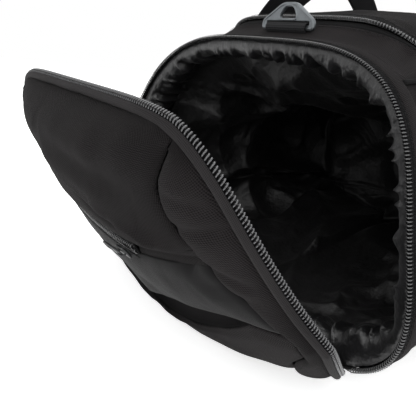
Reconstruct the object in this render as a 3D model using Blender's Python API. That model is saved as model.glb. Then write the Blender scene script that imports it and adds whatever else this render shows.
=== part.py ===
"""Flight bag: soft holdall with a zipped end compartment, top lid, handles and rings.

Metres, +Z up, +X towards the closed end, -Y is the near long side.
The bag stands on z = 0 with its base centred on the origin.
"""
from math import cos, pi, radians, sin

import bmesh
import bpy
import numpy as np
from mathutils import Matrix, Vector
from mathutils.geometry import tessellate_polygon

# ---- driving sizes ---------------------------------------------------------
LENGTH = 0.480          # between the two rims, along X
HALF_WIDTH = 0.1726     # half width of the rim outline
RIM_HEIGHT = 0.232      # rim outline height before the base is flattened
TOP_RISE = 0.028        # how much the top rises between the rims
SIDE_SWELL = 0.006      # how much the sides swell between the rims
ROUND_BOTTOM = 2.585    # corner exponent, lower half of the outline
ROUND_TOP = 3.70        # corner exponent, upper half of the outline
TAPER = 0.198           # narrower at the top by this share
SINK = 0.006            # slice taken off the outline to give a flat base
BOW = 0.0184            # rims bow outwards by this at mid height
SHELL = 0.0026          # panel thickness
SEAM = 0.0022           # half gap left at a seam for the piping

HINGE_Z = 0.0184        # flap hinge line above the floor
ZIP_GAP = 0.0042        # step between the two zip halves when closed
FLAP_OPEN = 41.5        # degrees, flap tipped outwards at rest
FLAP_HALF_WIDTH = 0.1713
FLAP_HEIGHT = 0.2386
FLAP_ROUND_BOTTOM = 2.484
FLAP_ROUND_TOP = 6.3
FLAP_TAPER = 0.2255
FLAP_WALL = 0.006       # depth of the border strip round the flap
FLAP_FOOT = 0.146       # half width of the flap at its hinge
FLAP_SILL = 0.030       # height where the flap face turns into its bottom wall

LID_HALF_WIDTH = 0.118
LID_START, LID_END = -0.197, 0.190
LID_CORNER = 0.055
LID_PUFF = 0.017        # how far the lid stands above the bag's top
HANDLE_HALF_SPAN = 0.120
HANDLE_RISE = 0.1175
HANDLE_POINT = 1.4      # exponent of the handle's arch, under 2 is pointed
WEBBING = 0.038
RING_WIDTH, RING_HEIGHT, RING_THICK = 0.059, 0.0190, 0.0034

HALF = LENGTH / 2


# ---- scene helpers ---------------------------------------------------------
def clear():
    for ob in list(bpy.data.objects):
        bpy.data.objects.remove(ob, do_unlink=True)


def material(name, colour, rough, metal=0.0):
    mat = bpy.data.materials.new(name)
    mat.use_nodes = True
    shader = mat.node_tree.nodes["Principled BSDF"]
    shader.inputs["Base Color"].default_value = (*colour, 1.0)
    shader.inputs["Roughness"].default_value = rough
    shader.inputs["Metallic"].default_value = metal
    return mat


def empty(name, location, rotation=(0, 0, 0), parent=None):
    ob = bpy.data.objects.new(name, None)
    bpy.context.collection.objects.link(ob)
    ob.location, ob.rotation_euler, ob.parent = location, rotation, parent
    return ob


def solid(name, verts, faces, mat, location=(0, 0, 0), parent=None, smooth=True):
    """One closed mesh object; verts are relative to location."""
    mesh = bpy.data.meshes.new(name)
    mesh.from_pydata([tuple(float(c) for c in v) for v in verts], [], faces)
    bm = bmesh.new()
    bm.from_mesh(mesh)
    bmesh.ops.remove_doubles(bm, verts=bm.verts, dist=0.00002)
    bmesh.ops.recalc_face_normals(bm, faces=bm.faces)
    if bm.calc_volume(signed=True) < 0:
        bmesh.ops.reverse_faces(bm, faces=bm.faces)
    bm.to_mesh(mesh)
    bm.free()
    mesh.materials.append(mat)
    if smooth:
        mesh.shade_smooth()
    ob = bpy.data.objects.new(name, mesh)
    bpy.context.collection.objects.link(ob)
    ob.location, ob.parent = location, parent
    return ob


def slab(name, outer, inner, mat, **more):
    """Closed slab between two grids of points with the same rows and columns."""
    rows, cols = len(outer), len(outer[0])
    verts = [p for row in outer for p in row] + [p for row in inner for p in row]
    half = rows * cols
    faces = []
    for i in range(rows - 1):
        for j in range(cols - 1):
            a, b, c, d = i * cols + j, i * cols + j + 1, (i + 1) * cols + j + 1, (i + 1) * cols + j
            faces += [(a, b, c, d), (half + d, half + c, half + b, half + a)]
    edge = [j for j in range(cols)]
    edge += [i * cols + cols - 1 for i in range(1, rows)]
    edge += [(rows - 1) * cols + j for j in range(cols - 2, -1, -1)]
    edge += [i * cols for i in range(rows - 2, 0, -1)]
    for k, a in enumerate(edge):
        b = edge[(k + 1) % len(edge)]
        faces.append((b, a, half + a, half + b))
    return solid(name, verts, faces, mat, **more)


def loft(name, rings, mat, closed=False, **more):
    """Closed skin through equal rings of points; ends capped unless closed."""
    n = len(rings[0])
    verts = [p for ring in rings for p in ring]
    faces = []
    count = len(rings)
    for i in range(count if closed else count - 1):
        k = (i + 1) % count
        for j in range(n):
            m = (j + 1) % n
            faces.append((i * n + j, i * n + m, k * n + m, k * n + j))
    if not closed:
        faces += [tuple(range(n)), tuple(range((count - 1) * n, count * n))]
    return solid(name, verts, faces, mat, **more)


def plate(name, loops, low, high, axis, mat, **more):
    """Flat plate along an axis: the outer loop, then a loop for each hole."""
    def place(p, h):
        return {"X": (h, p[0], p[1]), "Y": (p[0], h, p[1]), "Z": (p[0], p[1], h)}[axis]
    points = [p for loop in loops for p in loop]
    n = len(points)
    verts = [place(p, low) for p in points] + [place(p, high) for p in points]
    if len(loops) == 1:
        faces = [tuple(range(n)), tuple(range(n, 2 * n))]
    else:
        flat = tessellate_polygon([[Vector((*p, 0.0)) for p in loop] for loop in loops])
        faces = [t for t in flat] + [tuple(n + i for i in t) for t in flat]
    first = 0
    for loop in loops:
        size = len(loop)
        for j in range(size):
            a, b = first + j, first + (j + 1) % size
            faces.append((a, b, n + b, n + a))
        first += size
    return solid(name, verts, faces, mat, **more)


def circle(radius, n, centre=(0.0, 0.0)):
    return [(centre[0] + radius * cos(2 * pi * k / n), centre[1] + radius * sin(2 * pi * k / n))
            for k in range(n)]


def ribbon(path, thick):
    """Closed outline of a band of even thickness along an open path."""
    p = np.array(path, float)
    d = np.gradient(p, axis=0)
    d /= np.linalg.norm(d, axis=1)[:, None]
    side = np.c_[-d[:, 1], d[:, 0]] * thick / 2
    return [tuple(q) for q in p + side] + [tuple(q) for q in (p - side)[::-1]]


# ---- the shape of the bag body ---------------------------------------------
def egg(a, height, low, high, taper, count=361):
    """Half outline from top centre down to bottom centre: half widths, heights."""
    t = np.radians(np.linspace(90, -90, count))
    n = np.where(t < 0, low, high)
    c = np.abs(np.cos(t)) ** (2 / n)
    c[0] = c[-1] = 0.0
    s = np.sign(np.sin(t)) * np.abs(np.sin(t)) ** (2 / n)
    return a * c * (1 - taper * s), height / 2 * (1 + s)


def section(xi):
    """Body half outline at station xi (-1 open rim, +1 closed rim), even steps."""
    y, z = egg(HALF_WIDTH + SIDE_SWELL * (1 - xi ** 4), RIM_HEIGHT + TOP_RISE * (1 - xi ** 2),
               ROUND_BOTTOM, ROUND_TOP, TAPER)
    z = np.maximum(z - SINK, 0.0)
    run = np.r_[0, np.cumsum(np.hypot(np.diff(y), np.diff(z)))]
    u = np.linspace(0, run[-1], 401)
    return np.interp(u, run, y), np.interp(u, run, z)


def bow(z):
    h = np.clip((z + SINK) / RIM_HEIGHT, 0, 1)
    return 4 * h * (1 - h)


def hull(sig, xi, depth):
    """Point on the body: sig 0 top, +-1 bottom centre (sign = side); depth inwards."""
    y, z = section(xi)
    k = abs(sig) * 400
    i = min(int(k), 399)
    f = k - i
    py, pz = y[i] + f * (y[i + 1] - y[i]), z[i] + f * (z[i + 1] - z[i])
    lo, hi = max(i - 3, 0), min(i + 4, 400)
    ty, tz = y[hi] - y[lo], z[hi] - z[lo]
    if lo == 0 and k < 3:
        ty, tz = 1.0, tz * k / 3
    if hi == 400 and k > 397:
        ty, tz = -1.0, 0.0
    size = (ty * ty + tz * tz) ** 0.5
    ny, nz = -tz / size, ty / size
    py, pz = py - ny * depth, pz - nz * depth
    return (xi * (HALF + BOW * bow(pz)), py if sig >= 0 else -py, pz)


def sig_at(height, xi=-1.0):
    """Outline position where the side has this height."""
    z = section(xi)[1]
    return float(np.interp(-height, -z, np.linspace(0, 1, 401)))


def open_xi(e):
    return -1 + e / HALF


def closed_xi(e):
    return 1 - e / HALF


def span(a, b, n):
    return [float(v) for v in np.linspace(a, b, n)]


def round_bottom(start, n):
    """Signed positions from +start round the bottom centre to -start."""
    half = span(start, 1.0, n)
    return half + [-v for v in half[-2::-1]]


def patch(name, sigs, xis, mat, depth=0.0, thick=SHELL, **more):
    outer = [[hull(s, x, depth) for x in xis] for s in sigs]
    inner = [[hull(s, x, depth + thick) for x in xis] for s in sigs]
    return slab(name, outer, inner, mat, **more)


def rim_run(name, sigs, shape, mat, closed=False, at=open_xi, **more):
    """Run a small section (distance from the rim, depth) round the outline."""
    rings = [[hull(s, at(e), d) for e, d in shape] for s in sigs]
    return loft(name, rings, mat, closed=closed, **more)


def box_shape(e0, e1, d0, d1):
    return [(e0, d0), (e1, d0), (e1, d1), (e0, d1)]


TOP_SEAM = sig_at(0.204)
LOW_SEAM = sig_at(0.012)
ZIP_END = sig_at(HINGE_Z)
AROUND = span(0.0, 1.0, 37) + [-v for v in span(0.0, 1.0, 37)[-2:0:-1]]
HALF_RUN = 0.455        # length of half the outline, for turning metres into steps
GAP = (SEAM + 0.0002) / HALF_RUN


def body_panels(m):
    xis = [open_xi(e) for e in (0.0180, 0.035, 0.065)] + span(-0.60, 0.60, 9)
    xis += [closed_xi(e) for e in (0.065, 0.035, 0.0032)]
    low = LOW_SEAM + GAP
    patch("base_panel", round_bottom(low, 7), xis, m["fabric_base"])
    for side, sign in (("near", -1), ("far", 1)):
        sigs = [sign * v for v in span(TOP_SEAM + GAP, LOW_SEAM - GAP, 19)]
        patch("side_panel_" + side, sigs, xis, m["fabric_" + side])
        for place, sig in (("top", TOP_SEAM), ("bottom", LOW_SEAM)):
            ring = circle(0.0017, 8)
            rings = []
            for x in xis:
                grid = [(sign * (sig + a / HALF_RUN), b) for a, b in ring]
                rings.append([hull(s, x, 0.0006 - b) for s, b in grid])
            loft(f"piping_{place}_{side}", rings, m["piping"])
    solid_box("base_board", (-0.195, -0.078, 0.0034), (0.215, 0.078, 0.0060), m["board"])


def solid_box(name, low, high, mat, location=(0, 0, 0), parent=None):
    (x0, y0, z0), (x1, y1, z1) = low, high
    return plate(name, [[(x0, y0), (x1, y0), (x1, y1), (x0, y1)]], z0, z1, "Z", mat,
                 location=location, parent=parent, smooth=False)


# ---- top panel, lid and its zip ---------------------------------------------
def lid_half_width(x, grow=0.0):
    """Half width of the lid outline at x; the open-end corners are rounded."""
    full, start = LID_HALF_WIDTH + grow, LID_START - grow
    r = LID_CORNER + grow
    if x >= start + r:
        return full
    return full - r + max(r * r - (start + r - x) ** 2, 0.0) ** 0.5


def lid_path(grow, n_side=9, n_arc=8):
    """Outline round three sides from the near hinge corner to the far one."""
    full, start, r = LID_HALF_WIDTH + grow, LID_START - grow, LID_CORNER + grow
    pts = [(x, -full) for x in span(LID_END, start + r, n_side)[:-1]]
    pts += [(start + r - r * sin(t), -full + r - r * cos(t)) for t in span(0, pi / 2, n_arc)]
    pts += [(start, y) for y in span(-full + r, full - r, 5)[1:-1]]
    pts += [(start + r - r * cos(t), full - r + r * sin(t)) for t in span(0, pi / 2, n_arc)]
    pts += [(x, full) for x in span(start + r, LID_END, n_side)[1:]]
    return pts


def on_top(x, y, depth):
    """Point on the top of the body above plan position x, y."""
    xi = x / HALF
    for _ in range(4):
        ys, zs = section(xi)
        sig = float(np.interp(abs(y), ys[:150], np.linspace(0, 149 / 400, 150)))
        z = float(np.interp(abs(y), ys[:150], zs[:150]))
        xi = x / (HALF + BOW * float(bow(z)))
    return hull(sig if y >= 0 else -sig, xi, depth)


def top_parts(m, lid):
    xis = (open_xi(0.0180), closed_xi(0.0032))
    edge = TOP_SEAM - GAP
    inner = [(x, y) for x, y in lid_path(0.0070)]
    inner += [(LID_END + 0.0006, y) for y in span(LID_HALF_WIDTH, -LID_HALF_WIDTH, 7)]
    n = len(inner)
    outer = []
    for x, y in inner:
        dx = (x - 0.0) / (0.20 if x > 0 else 0.202)
        dy = y / (LID_HALF_WIDTH + 0.007)
        k = max(abs(dx), abs(dy))
        outer.append((dx / k, dy / k))
    rings_o, rings_i = [], []
    for f in (0.0, 0.12, 0.45, 0.75, 1.0):
        ro, ri = [], []
        for (x, y), (u, v) in zip(inner, outer):
            base = on_top(x, y, 0.0)
            xi_in = base[0] / (HALF + BOW * float(bow(base[2])))
            ys = section(xi_in)[0]
            s_in = float(np.interp(abs(y), ys[:150], np.linspace(0, 149 / 400, 150)))
            s_in = s_in if y >= 0 else -s_in
            xi_out = xis[0] if u <= 0 and abs(u) > 0.999 else xis[1] if u > 0.999 else None
            if xi_out is None:
                xi_out = xis[0] + (xis[1] - xis[0]) * (u + 1) / 2
            s_out = v * edge
            s, xi = s_in + f * (s_out - s_in), xi_in + f * (xi_out - xi_in)
            ro.append(hull(s, xi, 0.0))
            ri.append(hull(s, xi, SHELL))
        rings_o.append(ro)
        rings_i.append(ri)
    rings = rings_o + rings_i[::-1]
    # rings run outwards on the outside and back inwards underneath
    verts = [p for ring in rings for p in ring]
    faces = []
    for i in range(len(rings)):
        k = (i + 1) % len(rings)
        for j in range(n):
            q = (j + 1) % n
            faces.append((i * n + j, i * n + q, k * n + q, k * n + j))
    solid("top_panel", verts, faces, m["fabric_top"])

    hinge = lid.location
    rows_o, rows_i = [], []
    for x in [LID_START + 0.0080, LID_START + 0.011] + span(LID_START + 0.018, LID_END - 0.002, 11):
        half = lid_half_width(x, -0.0075)
        puff = LID_PUFF * min(1.0, (x - LID_START) / 0.05) * min(1.0, (LID_END - x) / 0.05)
        ro, ri = [], []
        for v in span(-1, 1, 15):
            lift = puff * (1 - v ** 4)
            a, b = on_top(x, v * half, -lift), on_top(x, v * half, SHELL - lift)
            ro.append([a[i] - hinge[i] for i in range(3)])
            ri.append([b[i] - hinge[i] for i in range(3)])
        rows_o.append(ro)
        rows_i.append(ri)
    slab("lid_panel", rows_o, rows_i, m["fabric_lid"], parent=lid)
    # the two halves of the zip: a tape with the coil on its edge
    for name, parent, base, sign, mat in (("main_zip_body_half", None, 0.0, 1, m["zip"]),
                                          ("main_zip_lid_half", lid, 0.0, -1, m["zip_lid"])):
        shift = (0, 0, 0) if parent is None else hinge
        shape = [(0.0002, -0.0008), (0.0024, -0.0008), (0.0024, 0.0003), (0.0066, 0.0003),
                 (0.0066, 0.0013), (0.0024, 0.0013), (0.0024, 0.0024), (0.0002, 0.0024)]
        lines = []
        for g, d in shape:
            pts = lid_path(base + sign * g)
            pts = [(min(x, LID_END - 0.002), y) for x, y in pts]
            lines.append([on_top(x, y, d) for x, y in pts])
        rings = [[[p[i] - shift[i] for i in range(3)] for p in ring] for ring in zip(*lines)]
        loft(name, rings, mat, parent=parent)


# ---- ends, linings ----------------------------------------------------------
ZIP_SHAPE = [(0.0002, -0.0006), (0.0036, -0.0006), (0.0036, 0.0004), (0.0112, 0.0004),
             (0.0112, 0.0016), (0.0036, 0.0016), (0.0036, 0.0026), (0.0002, 0.0026)]


def end_parts(m):
    run = span(-ZIP_END + 0.002, ZIP_END - 0.002, 65)
    rim_run("end_zip_body_half", run, ZIP_SHAPE, m["zip"])
    rim_run("end_binding", run, box_shape(0.0116, 0.0174, -0.0008, 0.0026), m["binding"])
    rim_run("piping_closed_end", AROUND, circle(0.0021, 8, (-0.0006, 0.0023)),
            m["piping"], closed=True, at=closed_xi)
    # closed end panel, just inside the piping
    inset = [hull(s, 1.0, 0.0066) for s in span(0.0, 1.0, 121)]
    zs = np.array([p[2] for p in inset])
    ys = np.array([p[1] for p in inset])
    rows_o, rows_i = [], []
    for z in [zs[-1] + 0.0002, 0.012] + span(0.03, 0.19, 9) + [0.205, 0.213, zs[0] - 0.0012]:
        half = float(np.interp(-z, -zs, ys))
        ro, ri = [], []
        for v in span(-1, 1, 13):
            x = HALF + BOW * float(bow(z)) + 0.010 * (1 - v ** 4) * float(bow(z)) ** 0.5
            ro.append((x + 0.0012, v * half, z))
            ri.append((x - 0.0014, v * half, z))
        rows_o.append(ro)
        rows_i.append(ri)
    slab("closed_end_panel", rows_o, rows_i, m["fabric_end"])
    # low wall under the flap hinge
    ys, zs = section(-1.0)
    rows_o, rows_i = [], []
    for z in (0.0006, 0.005, 0.010, 0.0152):
        half = float(np.interp(-z, -zs[200:], ys[200:])) - 0.006
        x = -HALF - BOW * float(bow(z))
        rows_o.append([(x, v * half, z) for v in span(-1, 1, 9)])
        rows_i.append([(x + 0.0022, v * half, z) for v in span(-1, 1, 9)])
    slab("end_sill", rows_o, rows_i, m["fabric_base"], smooth=False)
    low = ZIP_END + 0.004
    patch("sill_floor", round_bottom(low, 6), [open_xi(e) for e in (0.0030, 0.010, 0.0172)],
          m["binding"], thick=0.0022)
    # gathered band of lining just inside the rim
    band = [(0.0045, 0.0036), (0.0300, 0.0036), (0.0300, 0.0060), (0.0200, 0.0105),
            (0.0080, 0.0120), (0.0045, 0.0090)]
    rim_run("lining_band", AROUND, band, m["lining"], closed=True)


def lining_sack(m):
    """The deep lining of the end compartment, a thin cup."""
    stations = [(0.0306, 0.0066), (0.060, 0.0120), (0.110, 0.016), (0.170, 0.020), (0.225, 0.030)]
    n = len(AROUND)
    middle_z = 0.115
    def ring(e, d, shrink, add):
        pts = []
        for s in AROUND:
            x, y, z = hull(s, open_xi(e), d + add)
            pts.append((x, y * shrink, middle_z + (z - middle_z) * shrink))
        return pts
    outer = [ring(e, d, 1.0, 0.0) for e, d in stations]
    outer += [ring(0.236, 0.030, 0.86, 0.0), ring(0.240, 0.030, 0.5, 0.0)]
    inner = [ring(e, d, 1.0, 0.0016) for e, d in stations[:-1]] + [ring(0.2235, 0.030, 1.0, 0.0016)]
    inner += [ring(0.2343, 0.030, 0.86, 0.0), ring(0.2383, 0.030, 0.5, 0.0)]
    verts = [p for r in outer + inner[::-1] for p in r]
    rings = len(outer) + len(inner)
    faces = []
    for i in range(rings):
        k = (i + 1) % rings
        if i == len(outer) - 1:
            continue
        for j in range(n):
            q = (j + 1) % n
            faces.append((i * n + j, i * n + q, k * n + q, k * n + j))
    for r, e in ((len(outer) - 1, 0.240), (len(outer), 0.2383)):
        centre = len(verts)
        xs = [verts[r * n + j][0] for j in range(n)]
        verts.append((sum(xs) / n, 0.0, middle_z))
        faces += [(r * n + j, r * n + (j + 1) % n, centre) for j in range(n)]
    solid("compartment_lining", verts, faces, m["lining_deep"])


# ---- end flap ----------------------------------------------------------------
FLAP_Y, FLAP_Z = egg(FLAP_HALF_WIDTH, FLAP_HEIGHT, FLAP_ROUND_BOTTOM, FLAP_ROUND_TOP, FLAP_TAPER)
FLAP_Z = FLAP_Z - SINK
FLAP_TOP = FLAP_HEIGHT - SINK - HINGE_Z


def flap_half(h):
    """Half width of the flap outline at height h above its hinge."""
    y = float(np.interp(-(h + HINGE_Z), -FLAP_Z, FLAP_Y))
    join = 0.082
    if h < join:
        full = float(np.interp(-(join + HINGE_Z), -FLAP_Z, FLAP_Y))
        y = full - (full - FLAP_FOOT) * ((join - h) / join) ** 1.35
    return y


def flap_rim(h):
    """How far the rim line of the flap stands out of its hinge plane."""
    return BOW * (float(bow(h + HINGE_Z)) - float(bow(HINGE_Z)))


def flap_face(y, h):
    """Depth of the flap's outer face."""
    p = min(abs(y) / flap_half(min(h, FLAP_TOP - 0.004)), 1.0)
    rise = (0.0283 + 1.36 * (h - 0.122) ** 2) * (1 - max((h - 0.1) / 0.1125, 0.0) ** 16)
    return flap_rim(h) + FLAP_WALL + max(rise, 0.0) * (1 - p * p) ** 0.95


# half width of the flap's middle panels at heights above the hinge: waisted near the top
SEAM_H = (0.030, 0.050, 0.070, 0.086, 0.094, 0.101, 0.110, 0.120, 0.133, 0.148, 0.155,
          0.163, 0.171, 0.180, 0.186, 0.197, 0.203)
SEAM_Y = (0.1450, 0.1530, 0.1584, 0.1567, 0.1521, 0.1451, 0.1380, 0.1262, 0.1178, 0.1106, 0.1050,
          0.1030, 0.1016, 0.1013, 0.1043, 0.1116, 0.1152)


def flap_seam(h):
    return min(float(np.interp(h, SEAM_H, SEAM_Y)), flap_half(h) - 0.012)


def flap_outline(inset, n_side=22, n_top=13):
    """Points (y, h) up the near side, over the top and down the far side."""
    last = FLAP_TOP - inset
    hs = [last * (1 - (1 - v) ** 1.6) for v in span(0.0, 0.97, n_side)]
    side = [(-(flap_half(h + inset * 0.3) - inset), h) for h in hs]
    y_top = abs(side[-1][0])
    top = []
    for v in span(-1, 1, n_top)[1:-1]:
        y = v * y_top
        h = float(np.interp(abs(y) + inset, FLAP_Y[:181], FLAP_Z[:181])) - HINGE_Z - inset
        top.append((y, max(min(h, last), hs[-1])))
    return side + top + [(-y, h) for y, h in side[::-1]]


def flap_ring(name, corners, mat, parent):
    """Run a small section (inset from the outline, depth from the rim) round the flap."""
    lines = []
    for inset, depth in corners:
        lines.append([(-(flap_rim(h) + depth), y, h) for y, h in flap_outline(inset)])
    rings = [list(ring) for ring in zip(*lines)]
    return loft(name, rings, mat, parent=parent)


def flap_patch(name, hs, left, right, mat, parent, cols=8, thick=SHELL):
    """Panel of the flap's face between two edges given as functions of height."""
    rows_o, rows_i = [], []
    for h in hs:
        ys = span(left(h), right(h), cols)
        rows_o.append([(-flap_face(y, h), y, h) for y in ys])
        rows_i.append([(-flap_face(y, h) + thick, y, h) for y in ys])
    return slab(name, rows_o, rows_i, mat, parent=parent)


def flap_parts(m, flap):
    flap_ring("flap_zip_half", [(0.0006, 0.0002), (0.0006, 0.0034), (0.0038, 0.0034),
                                (0.0038, 0.0022), (0.0076, 0.0022), (0.0076, 0.0012),
                                (0.0038, 0.0012), (0.0038, 0.0002)], m["zip_flap"], flap)
    flap_ring("flap_border", [(0.0000, 0.0038), (0.0000, 0.0049), (0.0034, 0.0049),
                              (0.0034, 0.0038)], m["binding"], flap)
    ring = circle(0.0012, 8)
    flap_ring("flap_piping", [(0.0042 + a, 0.0066 + b) for a, b in ring], m["piping_flap"], flap)
    edge = 0.0066
    hs = [FLAP_SILL] + span(0.045, 0.185, 12) + [0.192]
    for side, sign in (("near", -1), ("far", 1)):
        flap_patch("flap_side_" + side, hs,
                   lambda h, s=sign: s * (flap_half(h) - edge - max(h - 0.17, 0.0) * 0.12),
                   lambda h, s=sign: s * (flap_seam(h) + 0.0012),
                   m["fabric_flap_side"], flap, cols=5)
    inner = [FLAP_SILL, 0.045, 0.06, 0.075, 0.09, 0.105, 0.1145]
    upper = [0.1265, 0.14, 0.155, 0.17, 0.185, 0.196, 0.203, 0.208]
    mid = lambda s: (lambda h: s * (flap_seam(h) - 0.0012))
    flap_patch("flap_pocket_panel", inner, mid(-1), mid(1), m["fabric_pocket"], flap, cols=13)
    flap_patch("flap_upper_panel", upper, mid(-1), mid(1), m["fabric_flap"], flap, cols=13)
    zip_rows = [0.1150, 0.1205, 0.1260]
    flap_patch("flap_pocket_zip", zip_rows, lambda h: -0.0450, mid(1), m["zip_pocket"], flap,
               cols=10, thick=0.0016)
    flap_patch("flap_zip_end", zip_rows, mid(-1), lambda h: -0.0456, m["fabric_flap"], flap, cols=4)
    # bottom wall of the flap, from the hinge out to the foot of the face
    rows_o, rows_i = [], []
    for v in span(-1, 1, 17):
        ro, ri = [], []
        for k in span(0.0, 1.0, 5):
            h = 0.0035 + (FLAP_SILL - 0.0046 - 0.0035) * k
            y = v * (flap_half(FLAP_SILL * k) - edge)
            w_end = flap_face(v * (flap_half(FLAP_SILL) - edge), FLAP_SILL)
            w = 0.0088 + (w_end - 0.0088) * k
            ro.append((-w, y, h - 0.0))
            ri.append((-w + 0.0018, y, h + 0.0022))
        rows_o.append(ro)
        rows_i.append(ri)
    slab("flap_bottom_panel", rows_o, rows_i, m["fabric_flap_side"], parent=flap)
    # lining over the inner side of the flap
    rows_o, rows_i = [], []
    for h in [0.0075] + span(0.02, 0.19, 9) + [0.202, 0.207]:
        half = flap_half(h) - 0.0050 - (0.012 if h > 0.2 else 0.004 if h > 0.185 else 0.0)
        w = flap_rim(h) + 0.0028
        rows_o.append([(-w, v * half, h) for v in span(-1, 1, 9)])
        rows_i.append([(-w - 0.0012, v * half, h) for v in span(-1, 1, 9)])
    slab("flap_lining", rows_o, rows_i, m["lining_flap"], parent=flap)


# ---- webbing, handles, rings ---------------------------------------------------
def handles(m):
    pivot_y, pivot_z = 0.1430, 0.2140
    for side, sign in (("near", -1), ("far", 1)):
        holder = empty("handle_pivot_" + side, (0, sign * pivot_y, pivot_z))
        power = 2 / HANDLE_POINT
        path = []
        for t in span(0, pi, 33):
            c, s = cos(t), abs(sin(t))
            x = -HANDLE_HALF_SPAN * (abs(c) ** power) * (1 if c > 0 else -1)
            path.append((x, 0.004 + (HANDLE_RISE - 0.004) * s ** power))
        # the strap's width lies in the plane of the arch
        wide = ribbon(path, WEBBING)
        plate("handle_" + side, [wide], -0.0015, 0.0015, "Y", m["webbing_" + side], parent=holder)
        for end, ex in (("open", -1), ("closed", 1)):
            x = ex * HANDLE_HALF_SPAN
            sigs = span(TOP_SEAM + 0.012, LOW_SEAM - 0.008, 15)
            outer, inner = [], []
            for s in sigs:
                row_o, row_i = [], []
                for k in (-1, -0.33, 0.33, 1):
                    xi = (x + k * WEBBING / 2) / HALF
                    row_o.append(hull(sign * s, xi, -0.0026))
                    row_i.append(hull(sign * s, xi, -0.0009))
                outer.append(row_o)
                inner.append(row_i)
            slab(f"strap_{side}_{end}", outer, inner, m["webbing"])


def rounded(corners, radius, n=4):
    """Loop of points with each corner replaced by a small curve."""
    out = []
    count = len(corners)
    for i, (x, y) in enumerate(corners):
        px, py = corners[i - 1]
        qx, qy = corners[(i + 1) % count]
        a, b = ((px - x) ** 2 + (py - y) ** 2) ** 0.5, ((qx - x) ** 2 + (qy - y) ** 2) ** 0.5
        ra, rb = min(radius, a * 0.45) / a, min(radius, b * 0.45) / b
        for k in span(0, 1, n):
            u, v = (1 - k) ** 2, k ** 2
            out.append((x + u * ra * (px - x) + v * rb * (qx - x),
                        y + u * ra * (py - y) + v * rb * (qy - y)))
    return out


def rings(m):
    for end, ex in (("open", -1), ("closed", 1)):
        x, z = ex * (HALF - 0.0270), 0.2380
        pivot = empty("ring_pivot_" + end, (x, 0, z))
        w, h = RING_WIDTH / 2, RING_HEIGHT
        outer = rounded([(-w, -0.0020), (w, -0.0020), (w, 0.0056), (w * 0.27, h), (-w * 0.27, h),
                         (-w, 0.0056)], 0.0034)
        slot = rounded([(-0.0242, 0.0018), (0.0242, 0.0018), (0.0242, 0.0048), (-0.0242, 0.0048)],
                       0.0009, 3)
        eye = rounded([(-0.0092, 0.0072), (0.0092, 0.0072), (0.0042, 0.0152), (-0.0042, 0.0152)],
                      0.0030)
        plate("d_ring_" + end, [outer, slot, eye], -RING_THICK / 2, RING_THICK / 2, "X",
              m["ring_" + end], parent=pivot, smooth=False)
        # webbing loop folded round the ring's straight bar, both tails sewn down
        r = 0.0034
        top = [(x + ex * r * cos(t), z + r * sin(t)) for t in span(radians(-60), radians(200), 15)]
        tail = -ex * 0.0084
        under = on_top(x + tail, 0.0, -0.0010)
        upper = [(x + tail, under[2] + 0.0016)]
        lower = [(x + tail, under[2])]
        path = lower + [(x + ex * 0.0010, z - r - 0.0004)] + top + upper
        outline = ribbon(path, 0.0011)
        plate("ring_loop_" + end, [outline], -0.0225, 0.0225, "Y", m["webbing"], smooth=False)


# ---- zip sliders -----------------------------------------------------------------
def basis(x_dir, z_dir):
    """Euler angles of a frame whose X and Z point these ways."""
    x, z = np.array(x_dir, float), np.array(z_dir, float)
    x /= np.linalg.norm(x)
    z -= x * float(x @ z)
    z /= np.linalg.norm(z)
    y = np.cross(z, x)
    return Matrix([[float(v) for v in row] for row in np.c_[x, y, z]]).to_euler()


def slider(name, mat, where, rotation, parent=None):
    """Slider body lying on the coil; its X runs along the zip, Z away from the cloth."""
    ride = empty(name + "_ride", where, rotation, parent)
    body = [(-0.0070, -0.0030), (-0.0050, -0.0046), (0.0050, -0.0040), (0.0070, -0.0026),
            (0.0070, 0.0026), (0.0050, 0.0040), (-0.0050, 0.0046), (-0.0070, 0.0030)]
    plate(name, [body], 0.0, 0.0030, "Z", mat, parent=ride, smooth=False)


def pull(name, mat, where, rotation, parent=None):
    """Pull tab hinged at its own origin; X runs down the tab, Y is the hinge."""
    pin = empty(name + "_pin", where, rotation, parent)
    tab = [(-0.0020, -0.0022), (0.0000, -0.0026), (0.0190, -0.0034), (0.0220, -0.0020),
           (0.0220, 0.0020), (0.0190, 0.0034), (0.0000, 0.0026), (-0.0020, 0.0022)]
    hole = [(0.0120, -0.0012), (0.0130, -0.0015), (0.0175, -0.0019), (0.0188, -0.0012),
            (0.0188, 0.0012), (0.0175, 0.0019), (0.0130, 0.0015), (0.0120, 0.0012)]
    plate(name, [tab, hole], -0.0008, 0.0008, "Z", mat, parent=pin, smooth=False)


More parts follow.
